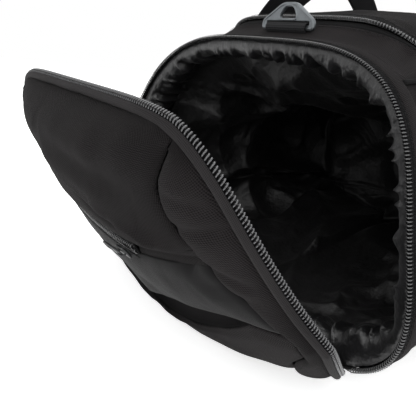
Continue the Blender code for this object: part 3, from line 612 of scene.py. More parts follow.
BLACK = (0.0072, 0.0063, 0.0065)
LOOK = {
    # Lighter and darker copies of one black twill: the top's copy (also on the end binding) and the flap side
    # panels' copy (also on the flap's foot and bottom gusset) are painted light, and the flap face's copy is
    # painted shade. The body sides are made lighter and the lid darker.
    "side": cloth("twill_side", shade(BLACK, 1.15), pitch=0.00115),
    "top": cloth("twill_top", shade(BLACK, 1.35), pitch=0.00115),
    "lid": cloth("twill_lid", shade(BLACK, 0.8), pitch=0.00115),
    "end": cloth("twill_end", BLACK, pitch=0.00115),
    "base": cloth("coated_base", (0.011, 0.0105, 0.011), "plain", 0.001, 0.7, 0.4),
    "flap": cloth("twill_flap", shade(BLACK, 0.86), pitch=0.00115),
    "flap_side": cloth("twill_flap_side", shade(BLACK, 1.15), pitch=0.00115, bump=1.0),
    "pocket": cloth("smooth_pocket", (0.0046, 0.0044, 0.0046), "plain", 0.0005, 0.62, 0.12, 0.25, 0.01,
                    shine=0.08),
    "binding": cloth("binding", (0.007, 0.0068, 0.007), "webbing", 0.001, 0.75, 0.5),
    "border": cloth("border", (0.0145, 0.0133, 0.0137), "plain", 0.0009, 0.75, 0.5),
    "tape": cloth("zip_tape", (0.003, 0.003, 0.0032), "webbing", 0.0009, 0.8, 0.6),
    "piping": cloth("piping", (0.006, 0.0058, 0.006), "plain", 0.0009, 0.75, 0.5),
    # the tuck is painted darker than the flap's twill: painted shade under the pocket's overhang
    "tuck": cloth("twill_tuck", (0.0045, 0.0042, 0.0044), "plain", 0.0009, 0.9, 0.3, 0.2, 0.0, shine=0.05),
    # the gathered band is the lining painted lighter: painted reflection of its satin
    "ruffle": cloth("nylon_ruffle", (0.0125, 0.012, 0.014), "nylon", 0.0006, 0.38, 0.15, 0.3, 0.05,
                    wrinkle=0.6, shine=0.65),
    "lining": cloth("nylon_lining", (0.008, 0.0075, 0.008), "nylon", 0.0006, 0.46, 0.15, 0.4, 0.05,
                    wrinkle=0.5, shine=0.42),
    "webbing": cloth("webbing", (0.003, 0.003, 0.0036), "webbing", 0.0017, 0.72, 0.9, 0.25, 0.01),
    # the ring loops' webbing is the handles' webbing painted lighter: painted light
    "loop": cloth("webbing_loop", (0.018, 0.018, 0.019), "webbing", 0.0017, 0.7, 0.9, 0.25),
    "thread": cloth("thread", (0.01, 0.01, 0.0105), "webbing", 0.0006, 0.6, 0.5),
    "coil": coil("coil", (0.012, 0.012, 0.013), 0.25),
    # the flap's coil is the same coil painted lighter: painted highlight
    "coil_flap": coil("coil_flap", (0.034, 0.0345, 0.037), 0.22),
    "ring": metal("ring", (0.12, 0.13, 0.137)),
    "slider": metal("slider_metal", (0.014, 0.0145, 0.015), 0.42, 0.3),
    "pull": metal("pull_metal", (0.016, 0.0165, 0.017), 0.44, 0.3),
    "board": cloth("board", (0.03, 0.03, 0.031), "plain", 0.0014, 0.8, 0.3),
}

# ---- small repeated parts ---------------------------------------------------------------
# x along the seam, y across it, z away from the cloth
TOOTH = tube([(-0.0004, 0.0038, -0.0002), (-0.0003, 0.0036, 0.001), (-0.0001, 0.0024, 0.0016),
              (0.0, 0.001, 0.0015), (0.0001, 0.0001, 0.0009), (0.0003, 0.0001, -0.0001),
              (0.0005, 0.001, -0.0008), (0.0008, 0.0034, -0.0008)],
             [0.0004, 0.0005, 0.00052, 0.00052, 0.00058, 0.00052, 0.00048, 0.0004], 6)


def stitch_part(length):
    x = linspace(-1, 1, 6)
    path = c_[x * length / 2, 0 * x, 0.00022 * (1 - x ** 4)]
    return tube(path, THREAD * array([0.35, 0.9, 1.0, 1.0, 0.9, 0.35]), 5)


def stitches(name, place, s, e, d, body, pitch=0.0034, look="thread"):
    """A row of stitches along a surface; e may vary along s."""
    at = steps(s[0], s[1], pitch)
    repeat(name, stitch_part(pitch * 0.72), frames(place, at, e(at) if callable(e) else e, d), look, body)


def teeth(name, place, at, e, d, body, sign=1, look="coil"):
    """A zip coil, one tooth at each place along a surface; sign turns them to the other half."""
    o, t, c, out = frames(place, at, e, d)
    repeat(name, TOOTH, (o, t, c * sign, out), look, body)


# ---- body panels ---------------------------------------------------------------------------
def side_sag(sig, xi, sign):
    """How far a side panel has sunk or swelled, metres inwards."""
    a = abs(sig)
    u, v, low = (xi + 1) * HALF, (a - TOP_SEAM) * RUN, (LOW_SEAM - a) * RUN
    inside = ease(v / 0.03) * ease(low / 0.03) * ease((u - 0.012) / 0.03) * ease((2 * HALF - u) / 0.03)
    sunk = inside * (0.003 + 0.0042 * rough(u * 9, v * 11, 3 + sign)
                     + 0.0014 * rough(u * 26, v * 24, 9 + sign))
    sunk += 0.0013 * exp(-v / 0.02) * ease(v / 0.004) * (1 + noise(u * 75, v * 16, 0, 21 + sign))
    sunk += 0.001 * exp(-low / 0.018) * ease(low / 0.004) * (1 + noise(u * 60, low * 16, 0, 25 + sign))
    sunk += 0.0012 * exp(-maximum(u - 0.018, 0) / 0.012) * (1 + noise(u * 16, v * 70, 0, 31 + sign))
    for p, q, width, deep in (((0.02, 0.012), (0.11, 0.052), 0.0065, 0.0042),
                              ((0.022, 0.03), (0.085, 0.08), 0.008, 0.0034),
                              ((0.15, 0.01), (0.215, 0.07), 0.0085, 0.003),
                              ((0.33, 0.012), (0.275, 0.075), 0.0085, 0.003),
                              ((0.455, 0.014), (0.39, 0.06), 0.0075, 0.0036),
                              ((0.03, 0.15), (0.12, 0.118), 0.011, 0.003),
                              ((0.44, 0.15), (0.35, 0.12), 0.011, 0.003)):
        sunk += deep * crease(u, v, p, q, width) - 0.4 * deep * crease(u, v + 1.4 * width, p, q, width)
    tuck = 0.0016 * (exp(-v / 0.003) + exp(-low / 0.003))
    return maximum(sunk, -0.001) * (1 - 0.5 * exp(-v / 0.006)) + tuck


def body_panels():
    """Sides, base, padded closed end and their piping."""
    xis = r_[open_xi(linspace(0.0172, 0.06, 22)), linspace(-0.742, 0.742, 118),
                closed_xi(linspace(0.06, 0.0026, 20))]
    for side, sign in SIDES:
        a = linspace(TOP_SEAM + GAP, LOW_SEAM - GAP, 92)[:, None]
        panel = "side_panel_" + side
        sheet(panel + "_cloth", hull, sign * a, xis[None], side_sag(a, xis[None], sign), CLOTH, "side", "bag",
              panel, "fabric_" + side)
        for place, sig in (("top", TOP_SEAM), ("bottom", LOW_SEAM)):
            wander = 0.0003 * noise(xis * 40, 0.5, 0, 5)[:, None]
            grid = hull(sign * (sig + (0.0017 * cos(ROUND) + wander) / RUN), xis[:, None],
                        0.0003 - 0.0017 * sin(ROUND))
            bar(f"piping_{place}_{side}_cord", grid, "piping", "bag", f"piping_{place}_{side}")
    base = r_[linspace(LOW_SEAM + GAP, 1, 26), -linspace(1, LOW_SEAM + GAP, 26)[1:]][:, None]
    dent = 0.0016 * exp(-(abs(abs(base) - LOW_SEAM) * RUN) / 0.003)
    sheet("base_cloth", hull, base, xis[None], dent, 0.0022, "base", "bag", "base_panel", "fabric_base")

    # closed end: a padded panel inside its piping
    s = linspace(-RUN, RUN, 361)[:-1][:, None]
    bar("piping_closed_end_cord", hull(s / RUN, closed_xi(0.0019 * cos(ROUND) - 0.0006),
                                       0.0021 + 0.0019 * sin(ROUND)),
        "piping", "bag", "piping_closed_end", closed=True)
    edge = hull(s[:, 0] / RUN, 1.0, 0.0052)
    t = r_[linspace(0, 0.92, 34), 1 - np.geomspace(0.07, 0.0005, 12)][:, None, None]
    middle = array([0.0, 0.0, 0.115])
    grid = middle + (edge[None] - middle) * t
    y, z = grid[..., 1], grid[..., 2]
    t = t[..., 0]
    puff = 0.0115 * (1 - t ** 5) + 0.003 * rough(y * 11, z * 11, 41) * (1 - t ** 4)
    puff += 0.0012 * rough(y * 30, z * 30, 45) * (1 - t ** 6)
    puff -= 0.0011 * exp(-(1 - t) * 9) * (1 + noise(s.T[0] * 62, t * 3, 0, 47))
    puff -= creases(y, z, (0.003, (-0.09, 0.19), (0.02, 0.12), 0.012),
                    (0.0026, (0.11, 0.17), (0.05, 0.07), 0.012))
    grid[..., 0] = HALF + BOW * bow(z) - 0.0012 + maximum(puff, -0.001)
    inner = grid.copy()
    inner[..., 0] -= 0.002
    slab("closed_end_cloth", grid, inner, "end", "bag", "closed_end_panel", "fabric_end", wrap=True)


def top_relief(s, xi):
    """Depth change of the top panel around the lid, metres inwards."""
    u, v = (xi + 1) * HALF, s * RUN
    edge = (TOP_SEAM * RUN - abs(v))
    inside = ease(edge / 0.02) * ease((u - 0.014) / 0.02) * ease((2 * HALF - u) / 0.025)
    sunk = inside * (0.001 + 0.0022 * rough(u * 13, v * 13, 61) + 0.001 * rough(u * 34, v * 34, 64))
    sunk += 0.0012 * exp(-edge / 0.01) * ease(edge / 0.003) * (1 + noise(u * 70, v * 20, 0, 66))
    for sign in (-1, 1):
        sunk += creases(u, v * sign, (0.0034, (0.02, 0.118), (0.075, 0.082), 0.006),
                        (-0.0016, (0.024, 0.104), (0.085, 0.07), 0.007),
                        (0.0026, (0.458, 0.12), (0.395, 0.085), 0.008))
    return maximum(sunk, -0.0018) + 0.0014 * exp(-edge / 0.003)


def ring_stand(x, y):
    """1 under the webbing loops, where the top stays flat."""
    return clip(1.6 - maximum(abs(abs(x) - 0.2115) / 0.013, abs(y) / 0.024), 0, 1)


def top_parts():
    """Top panel, lid, main zip and the tape over the lid's hinge."""
    # the hole for the lid, carried outwards to the seams
    x, y = lid_plan(linspace(0, LID_RUN, 260), 0.007)
    x, y = r_[x, np.full(40, LID_END + 0.0006)], r_[y, linspace(y[-1], y[0], 42)[1:-1]]
    u, v = x / np.where(x > 0, 0.2, 0.202), y / 0.125
    k = maximum(abs(u), abs(v))
    u, v = u / k, v / k
    base = bare_top(x, y)
    xi_in = base[:, 0] / (HALF + BOW * bow(base[:, 2]))
    j, g = station(xi_in)
    i = clip((abs(y) / SPREAD[1]).astype(int), 0, 299)
    s_in = np.sign(y) * (ACROSS[j, i] + (ACROSS[j + 1, i] - ACROSS[j, i]) * g)
    first, last = open_xi(0.0174), closed_xi(0.0026)
    s_out, xi_out = v * (TOP_SEAM - GAP), first + (last - first) * (u + 1) / 2
    f = linspace(0, 1, 34)[:, None]
    s, xi = s_in + f * (s_out - s_in), xi_in + f * (xi_out - xi_in)
    sunk = top_relief(s, xi)
    flat = ring_stand(xi * HALF, s * RUN)
    sunk = sunk * (1 - flat) * ease(f * 5 + 0.1)
    sheet("top_cloth", lambda *at: raised(hull(*at)), s, xi, sunk, CLOTH, "top", "bag", "top_panel",
          "fabric_top", wrap=True)

    # lid: a soft crowned panel with a long crease from its front corner
    x = r_[linspace(LID_START + 0.0076, LID_START + 0.03, 16),
              linspace(LID_START + 0.034, LID_END - 0.0015, 84)]
    half = lid_half_width(x, -0.0075)[:, None]
    w = linspace(-1, 1, 91)[None]
    x = x[:, None]
    puff = 0.0165 * (1 - w ** 4)
    puff = puff * clip((x - LID_START - 0.02) / 0.042, 0, 1) * minimum((LID_END - x) / 0.09, 1)
    inside = (1 - w ** 6) * ease((x - LID_START - 0.006) / 0.02) * ease((LID_END - x) / 0.03)
    y = w * half
    puff = puff + inside * (0.0022 * rough(x * 12, y * 14, 71) + 0.0009 * rough(x * 33, y * 30, 73))
    puff = puff - inside * creases(x, y, (0.0034, (-0.18, 0.055), (-0.03, -0.08), 0.007),
                                   (-0.0022, (-0.185, 0.035), (-0.06, -0.07), 0.008),
                                   (0.0026, (-0.15, 0.095), (0.03, 0.04), 0.01))
    puff = clip(puff, -0.0022, 0.0195)
    sheet("lid_cloth", on_top, x, y, -puff, CLOTH, "lid", "top_lid", "lid_panel", "fabric_lid")

    # main zip: two tapes, each with its coil on the meeting edge
    s = linspace(0, LID_RUN, 420)[:, None]
    places = steps(0.001, LID_RUN - 0.001, TOOTH_PITCH)[1:-1]
    for part, sign, body, slot in (("body", 1, "bag", "zip"), ("lid", -1, "top_lid", "zip_lid")):
        name = "main_zip_" + part
        e = array([0.0012, 0.003, 0.0052, 0.0072, 0.0072, 0.0052, 0.003, 0.0012])[None] * sign
        d = array([0.001, 0.0006, 0.0002, -0.0002, 0.0008, 0.0011, 0.0014, 0.0018])[None]
        bar(name + "_tape", at_lid(s, e, d), "tape", body, name + "_half")
        shift = 0.0 if sign > 0 else TOOTH_PITCH / 2
        teeth(name + "_coil", at_lid, places + shift, 0.0001 * sign, 0.0, body, sign)
        stitches(name + "_thread", at_lid, (0.001, LID_RUN - 0.001), 0.0026 * sign, -0.0018, body,
                 TOOTH_PITCH)
        stitches(name + "_topstitch", at_lid, (0.003, LID_RUN - 0.003), 0.0092 * sign, -0.0004, body)
    # folded tape over the lid's cloth hinge
    w = linspace(-0.116, 0.116, 90)[None]
    x = linspace(LID_END - 0.0085, LID_END + 0.0075, 14)[:, None]
    lift = 0.0016 + 0.0004 * sin(pi * (x - LID_END + 0.0085) / 0.016)
    tape = slab("lid_hinge_tape", on_top(x, w, -lift), on_top(x, w, 0.0009 - lift), "binding", None,
                slot="fabric_top")
    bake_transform(tape)


# ---- the open end ------------------------------------------------------------------------------
def rim_parts():
    """Zip half, binding, gathered band and sill of the open end."""
    last = ZIP_END * RUN - 0.001
    s = linspace(-last, last, 620)[:, None]
    # tape from the coil back under the binding
    e = array([0.0014, 0.0036, 0.007, 0.0112, 0.0112, 0.007, 0.0036, 0.0014])[None]
    d = array([0.0004, -0.0002, -0.0005, -0.0004, 0.0006, 0.0007, 0.0008, 0.0012])[None]
    ripple = 0.00025 * noise(s * 60, 0.3, 0, 81)
    bar("end_zip_body_tape", raised(at_rim(s, e, d + ripple * ((e > 0.003) & (e < 0.011)))), "tape", "bag",
        "end_zip_body_half")
    teeth("end_zip_body_coil", at_rim, steps(-last, last, TOOTH_PITCH), 0.0002, 0.0002, "bag")
    for row, e, d in (("thread", 0.0027, -0.0016), ("chain", 0.0054, -0.0009)):
        stitches("end_zip_body_" + row, at_rim, (-last, last), e, d, "bag", TOOTH_PITCH)
    # binding folded over the seam
    e = array([0.0068, 0.0074, 0.0115, 0.016, 0.0176, 0.0176, 0.0135, 0.01])[None]
    d = array([-0.0002, -0.0008, -0.0006, -0.0003, 0.0003, 0.0022, 0.0024, 0.0018])[None]
    wave = 0.0002 * noise(s * 45, 0.7, 0, 85)
    bar("end_binding_tape", raised(at_rim(s, e, d + wave * (d < 0))), "top", "bag", "end_binding")
    # gathered band of lining just inside the coil, painted lighter than the deep lining as a painted satin
    # reflection
    s = linspace(-RUN, RUN, 1501)[:-1][None]
    k = linspace(0, 1, 40)[:, None]
    warp = s + 0.005 * noise(s * 40, k * 1.6, 0, 91) + 0.004 * k * noise(s * 75, 3.0, 0, 92)
    pleat = 1 - 2.4 * abs(noise(warp * 112, k * 0.8, 0, 93)) ** 0.75
    pleat += 0.35 * noise(warp * 190, k * 2.5, 0, 95)
    depth = 0.75 + 0.45 * noise(s * 22, 0.4, 0, 97)
    near = ease((abs(s) / RUN - 0.22) / 0.12) * (s < 0)
    e = 0.0042 + (0.03 + 0.006 * depth) * k + 0.0055 * k * k * pleat
    puff = sin(pi * clip(k * 0.86, 0, 1) ** 0.6)
    thin = 1 - 0.5 * clip((abs(s) / RUN - 0.8) / 0.12, 0, 1)        # flatter along the bottom
    swell = 0.0125 + 0.0085 * near * clip(0.75 + 1.4 * noise(s * 11, 0.2, 0, 98), 0, 1)
    d = 0.003 + swell * puff * thin + 0.005 * k
    d = maximum(d + ease(k * 4.5) * (0.004 + 0.0026 * k) * depth * pleat * thin, 0.0029)
    slab("lining_ruffle", at_rim(s, e, d), at_rim(s, e + 0.0002, maximum(d - 0.0008, 0.0026)), "ruffle",
         "bag", "lining_band", "lining", wrap=True)
    # low wall and floor strip under the hinge
    z = linspace(0.0006, 0.0154, 10)[:, None]
    half = interp(-z, -TABLE[1][1][200:], TABLE[1][0][200:]) - 0.0055
    v = linspace(-1, 1, 91)[None]
    x = -HALF - BOW * bow(z) - 0.0008 * sin(pi * z / 0.0154) + 0.0004 * noise(v * 30, z * 60, 0, 99)
    grid = points(x, v * half, z)
    slab("end_sill_cloth", grid, grid + [CLOTH, 0, 0], "base", "bag", "end_sill", "fabric_base")
    a = ZIP_END + 0.003
    sig = r_[linspace(a, 1, 30), -linspace(1, a, 30)[1:]][:, None]
    e = open_xi(linspace(0.0028, 0.0174, 8))[None]
    sheet("sill_floor_cloth", hull, sig, e, 0.0002, CLOTH, "binding", "bag", "sill_floor", "binding")


def lining_sack():
    """Deep lining: a slack cup that hangs from the gathered band in big soft folds."""
    s = linspace(-1, 1, 421)[:-1][None]
    rows = r_[linspace(0, 1, 96), linspace(1.02, 1.5, 26)][:, None]
    e = 0.033 + 0.205 * minimum(rows, 1)
    a = abs(s)
    u, v = e, s * RUN
    floor = clip((a - 0.8) / 0.14, 0, 1)
    slack = 0.2 + 0.8 * ease(rows / 0.2)
    u2, v2 = u + 0.02 * noise(u * 9, v * 7, 0, 111), v + 0.022 * noise(u * 8, v * 9, 0, 112)
    fold = ridges(u2 * 10 + v2 * 5, v2 * 8 - u2 * 3, 101) * 0.03
    fold += ridges(u2 * 21 - v2 * 6, v2 * 15 + u2 * 7, 103) * 0.0125
    fold += ridges(u2 * 46, v2 * 38, 104) * 0.004 + 0.0012 * rough(u * 70, v * 70, 105)
    d = 0.01 + 0.03 * clip(rows, 0, 1) ** 1.4 + slack * fold * (1 - 0.5 * floor)
    d += 0.02 * exp(-(a / 0.3) ** 2) * ease(rows * 2)      # the top hangs down
    d = maximum(d, 0.0082)
    grid = hull(s, open_xi(e), d)
    middle = array([0.0, -0.01, 0.085])
    back = clip((rows - 1) / 0.5, 0, 1)
    shrink = (1 - back ** 1.4 * 0.995)[..., None]
    flat = grid[95:96]
    close = middle + (flat - middle) * shrink
    drape = ridges(close[..., 1] * 13 + close[..., 2] * 5, close[..., 2] * 11, 107) * 0.03
    drape += ridges(close[..., 1] * 27, close[..., 2] * 25 + close[..., 1] * 9, 109) * 0.012
    close[..., 0] = flat[..., 0] + 0.022 * sin(back * pi / 2) - drape * ease(back * 3)
    grid = np.where((rows > 1)[..., None], close, grid)
    centre = array([grid[..., 0].mean(), 0, 0.105])
    inward = centre - grid
    inward[..., 0] = 0
    inward /= np.linalg.norm(inward, axis=-1)[..., None] + 1e-9
    slab("compartment_lining_cloth", grid + inward * 0.0006, grid - inward * 0.0002, "lining", "bag",
         "compartment_lining", "lining_deep", wrap=True)


# ---- the end flap --------------------------------------------------------------------------------
def foot_at(y):
    """Height of the pocket's lower edge, which hangs over a tuck painted dark for the shade under it."""
    return 0.042 + 0.046 * sin(pi / 2 * minimum(abs(y) / 0.13, 1))


def tuck_at(y):
    """Height where the bottom panel disappears under the pocket."""
    return minimum(0.0305 + 0.056 * (y / 0.128) ** 2, foot_at(y) - 0.0012)


def pocket_top(y):
    """Seam between the pocket and the panel above it; it climbs past the zip's near end."""
    return 0.1205 + 0.016 * maximum(-y - 0.044, 0) / 0.066


def flap_relief(y, h):
    """Folds and tucks of the flap's face, metres outwards."""
    a = abs(y)
    side, edge = a - seam_at(h), flap_half(h) - FLAP_EDGE - a
    edge = minimum(edge, FLAP_TOP - 0.004 - h)
    inside = ease(edge / 0.025)
    out = inside * (0.0016 * rough(y * 13 + 3, h * 13, 121) + 0.0006 * rough(y * 42, h * 42, 124) - 0.0006)
    along = np.where(edge == FLAP_TOP - 0.004 - h, y, h)
    out += 0.0012 * exp(-edge / 0.016) * ease(edge / 0.003) * noise(along * 62, edge * 10, 0, 131)
    out -= 0.0034 * exp(-maximum(edge, 0) / 0.0016)
    out -= 0.003 * exp(-abs(side) / 0.0024) * (h < 0.2)
    out += 0.001 * exp(-abs(side) / 0.012) * noise(h * 80, side * 30, 0, 133) * (h < 0.192)
    out += np.where(side > 0, 0.0024 * sin(pi * clip(side / (side + maximum(edge, 1e-4)), 0, 1)), 0)
    # tucks that run across the side panels from the seam
    tucks = (0.182, 0.17, 0.0016), (0.158, 0.163, 0.002), (0.14, 0.128, 0.0022), (0.112, 0.118, 0.0016)
    out -= (side > 0) * creases(a, h, *((deep, (0.098, h0), (0.15, h1), 0.004) for h0, h1, deep in tucks))
    middle, gate = side < 0, ease((seam_at(h) - a) / 0.03)
    seam = pocket_top(y)
    lip = 0.0034 * exp(-((h - seam - 0.022) / 0.014) ** 2) * gate
    out += np.where(middle & (h > seam), lip - 0.003 * exp(-(h - seam - 0.005) / 0.003), 0)
    full = 0.003 * sin(pi * clip((seam - h) / 0.05, 0, 1)) * gate
    out += np.where(middle & (h < seam), full - 0.0026 * exp(-abs(seam - 0.005 - h) / 0.0028), 0)
    # the upper panel droops over the zip in one long fold
    for p, q in (((-0.106, 0.129), (-0.0566, 0.1402)), ((-0.0871, 0.1343), (-0.0324, 0.1532)),
                 ((-0.05, 0.144), (0.02, 0.166))):
        out -= 0.0034 * crease(y, h, p, q, 0.0042) * middle
        out += 0.003 * crease(y, h - 0.0095, p, q, 0.0065) * middle
    out += creases(y, h, (0.0036, (-0.08, 0.158), (0.045, 0.194), 0.01),
                   (-0.0026, (-0.085, 0.176), (0.035, 0.204), 0.008)) * middle
    out -= 0.003 * crease(y, h, (0.02, 0.2), (0.06, 0.165), 0.011)
    out -= 0.0026 * exp(-((a - 0.104) ** 2 + (h - 0.131) ** 2) / 0.006 ** 2)
    return clip(out, -0.0064, 0.0066)


def face(name, y, h, relief, thick, look, nodes=(), slot=None):
    """A sheet of the flap's face, thick metres behind the face raised by relief."""
    sheet(name, on_flap, *np.broadcast_arrays(y, h, relief), -thick, look, "end_flap", nodes, slot)


def flap_parts():
    """Every piece of the end flap, and the cloth across its hinge."""
    w = linspace(-1, 1, 161)[None]

    def between(low, high, j, start, rounds=4):
        """Places between two seams across the flap, as wide as the middle panels there."""
        y = w * (seam_at(start) - GAP_SEWN)
        for _ in range(rounds):
            h = low(y) + (high(y) - low(y)) * j
            y = w * (seam_at(h) - GAP_SEWN)
        return y, h

    k = r_[linspace(0, 0.06, 6), linspace(0.075, 0.87, 60),
              1 - 0.115 * linspace(1, 0, 22) ** 2][:, None]
    y, h = between(lambda q: pocket_top(q) + 0.0052, lambda q: FLAP_FACE_TOP + 0 * q, k, 0.16, 3)
    h = pocket_top(y) + 0.0052
    h = h + (FLAP_FACE_TOP - h) * k
    face("flap_upper_cloth", y, h, flap_relief(y, h), CLOTH, "flap", "flap_upper_panel", "fabric_flap")
    h = linspace(FLAP_SILL, 0.203, 130)[:, None]
    inner, outer = seam_at(h) + GAP_SEWN, flap_half(h) - FLAP_EDGE
    for side, sign in SIDES:
        y = sign * (inner + maximum(outer - inner, 0.0003) * linspace(0, 1, 40)[None])
        face(f"flap_side_{side}_cloth", y, h, flap_relief(y, h), CLOTH, "flap_side", "flap_side_" + side,
             "fabric_flap_side")
    # pocket front, and below it the tuck, painted dark as shade under the pocket, and the bottom panel, lit
    # and painted light in the flap side twill
    j = linspace(0, 1, 56)[:, None]
    y, h = between(foot_at, lambda q: pocket_top(q) - 0.0052, j, 0.1)
    face("flap_pocket_cloth", y, h, flap_relief(y, h) - 0.0022 * exp(-(j / 0.05) ** 2), CLOTH, "pocket",
         "flap_pocket_panel", "fabric_pocket")
    j = linspace(0, 1, 18)[:, None]
    y, h = between(tuck_at, foot_at, j, 0.06)
    deep = 0.003 + 0.006 * sin(pi * j) ** 0.6 * clip((foot_at(y) - tuck_at(y)) / 0.012, 0, 1)
    face("flap_tuck_cloth", y, h, -deep, 0.0014, "tuck", slot="fabric_pocket")
    y, h = between(lambda q: FLAP_SILL + 0 * q, tuck_at, j, 0.06)
    r = 0.001 * noise(y * 70, j * 0.9, 0, 127) * ease((0.13 - abs(y)) / 0.03)
    r = (r - 0.0022 * ease((j - 0.75) / 0.25)) * ease(j * 3) + flap_relief(y, h) * (1 - ease(j * 3))
    face("flap_foot_cloth", y, h, r, 0.0014, "flap_side", slot="fabric_pocket")

    # pocket zip: tape, closed coil, end stop
    far = float(seam_at(POCKET_ZIP_H)) - 0.001
    face("flap_pocket_zip_tape", linspace(POCKET_ZIP_NEAR, far, 90)[None],
         POCKET_ZIP_H + linspace(-0.0057, 0.0057, 9)[:, None], -0.002, 0.001, "tape", "flap_pocket_zip",
         "zip_pocket")

    def at_pocket(s, e, d):
        return on_flap(s, POCKET_ZIP_H + e, -d)

    def by_pocket(s, e, d):
        return on_flap(s, POCKET_ZIP_H + e, flap_relief(s, POCKET_ZIP_H + e) - d)

    span = -0.0435, far - 0.003
    for part, sign, shift in (("low", -1, 0.0), ("high", 1, TOOTH_PITCH / 2)):
        teeth("flap_pocket_coil_" + part, at_pocket, steps(*span, TOOTH_PITCH) + shift, 0.0, 0.0016,
              "end_flap", sign)
        stitches("flap_pocket_thread_" + part, at_pocket, span, 0.0027 * sign, -0.0008, "end_flap",
                 TOOTH_PITCH)
        stitches("flap_pocket_topstitch_" + part, by_pocket, (-0.043, far - 0.002), 0.0078 * sign, -0.0001,
                 "end_flap")
    y = linspace(-seam_at(0.134) + 0.001, -0.0448, 40)[None]
    h = pocket_top(y) + linspace(-0.0056, 0.0056, 14)[:, None]
    face("flap_zip_end_cloth", y, h, -0.003 - 0.0016 * exp(-abs(h - pocket_top(y)) / 0.0016), 0.0014,
         "flap", "flap_zip_end", "fabric_flap")

    # bottom gusset, from the hinge out to the foot of the face
    k = linspace(0, 1, 30)[:, None]
    v = linspace(-1, 1, 141)[None]
    y = v * (flap_half(FLAP_SILL * k) - FLAP_EDGE)
    h = 0.0035 + (FLAP_SILL - 0.0035) * k ** 1.15
    foot = v * (flap_half(FLAP_SILL) - FLAP_EDGE)
    end = flap_face(foot, FLAP_SILL) + flap_relief(foot, FLAP_SILL)
    out = 0.0088 + (end - 0.0088) * sin(k * pi / 2) ** 0.9
    soft = sin(pi * k)
    drop = soft * (0.0016 * rough(y * 16, k * 1.6, 141) + 0.0012 * noise(y * 52, k * 2, 0, 143) - 0.0012)
    drop = drop + 0.0026 * crease(y, k * 0.05, (-0.11, 0.026), (-0.01, 0.034), 0.0045)
    h = maximum(h + drop, 0.0028)
    slab("flap_bottom_cloth", flap_world(out, y, h), flap_world(out - 0.001, y, h + 0.0016), "flap_side",
         "end_flap", "flap_bottom_panel", "fabric_flap_side")

    # zip half, border and piping round the flap; across runs out of the rim plane
    def at_wall(s, e, d):
        return at_flap(s, d, e)

    s = linspace(0.0005, FLAP_RUN - 0.0005, 620)[:, None]
    e = array([0.001, 0.0026, 0.004, 0.0054, 0.0054, 0.004, 0.0026, 0.001])[None]
    d = array([0.0014, 0.0011, 0.001, 0.0014, 0.0024, 0.0022, 0.0022, 0.0026])[None]
    bar("flap_zip_tape", at_wall(s, e, d), "tape", "end_flap", "flap_zip_half")
    span = 0.001, FLAP_RUN - 0.001
    # the flap's coil uses the lighter coil copy, a painted highlight
    teeth("flap_zip_coil", at_wall, steps(*span, TOOTH_PITCH), 0.0002, 0.0014, "end_flap",
          look="coil_flap")
    stitches("flap_zip_thread", at_wall, span, 0.0028, -0.0004, "end_flap", TOOTH_PITCH, "border")
    e = array([0.0042, 0.0045, 0.0056, 0.0068, 0.0078, 0.0082, 0.0076, 0.0064, 0.0062, 0.0056, 0.005,
                  0.0046])[None]
    d = array([0.0012, 0.0, -0.0005, -0.0002, 0.001, 0.0026, 0.0042, 0.0046, 0.0034, 0.0026, 0.0022,
                  0.0018])[None]
    wave = 0.00035 * noise(s * 42, 0.4, 0, 151)
    bar("flap_border_tape", at_wall(s, e + wave * (e > 0.007), d + wave * (d < 0.001)), "border", "end_flap",
        "flap_border")
    wander = 0.0003 * noise(s * 36, 0.5, 0, 153)
    e, d = 0.0051 + 0.0008 * cos(ROUND), 0.0066 + wander + 0.0008 * sin(ROUND)
    bar("flap_piping_cord", at_flap(s, e, d), "piping", "end_flap", "flap_piping")

    # lining on the flap's inner side
    h = r_[linspace(0.0068, 0.196, 96), linspace(0.198, 0.2092, 10)][:, None]
    y = w * (flap_half(h) - 0.0052)
    edge = minimum(minimum(1 - abs(w), 1.0) * 0.15, FLAP_TOP - 0.004 - h)
    soft = ease(edge / 0.02) * ease((h - 0.004) / 0.02)
    r = soft * (0.0022 * ridges(y * 24 + 1.2 * noise(h * 16, y * 9, 0, 162), h * 15, 161) - 0.0012 + 0.0008 *
                rough(y * 50, h * 50, 164))
    r = r + 0.0008 * exp(-edge / 0.01) * noise(h * 70, y * 70, 0, 166)
    d = flap_rim(h) + 0.003 - clip(r, -0.0008, 0.003)
    slab("flap_lining_cloth", flap_world(d, y, h), flap_world(d + 0.0009, y, h), "lining", "end_flap",
         "flap_lining", "lining_flap")

    # cloth across the hinge: outside web and inside lining
    v = linspace(-1, 1, 121)[:, None]
    for name, profile, half, look, slot, start, end in (
            ("flap_hinge_web", ((-0.2446, 0.0128), (-0.247, 0.016), (-0.25, 0.0166), (-0.2545, 0.0158),
                                (-0.2602, 0.015)), 0.139, "base", "fabric_base", -0.2462, -0.256),
            ("flap_hinge_lining", ((-0.233, 0.0096), (-0.2385, 0.0128), (-0.2435, 0.0172), (-0.248, 0.0186),
                                   (-0.253, 0.0204), (-0.2585, 0.0238)), 0.141, "lining", "lining_flap",
             -0.244, -0.256)):
        p = array(profile)
        t = linspace(0, len(p) - 1, 22)
        x, z = (interp(t, arange(len(p)), p[:, i]) for i in (0, 1))
        pad = 0.0006 * noise(v * half * 46, t[None] * 0.8, 0, 171) * sin(pi * t / t[-1])
        grid = points(x[None], v * half, z[None] + pad)
        web = slab(name, grid, grid - [0, 0, 0.0009], look, None, slot=slot)
        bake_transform(web)


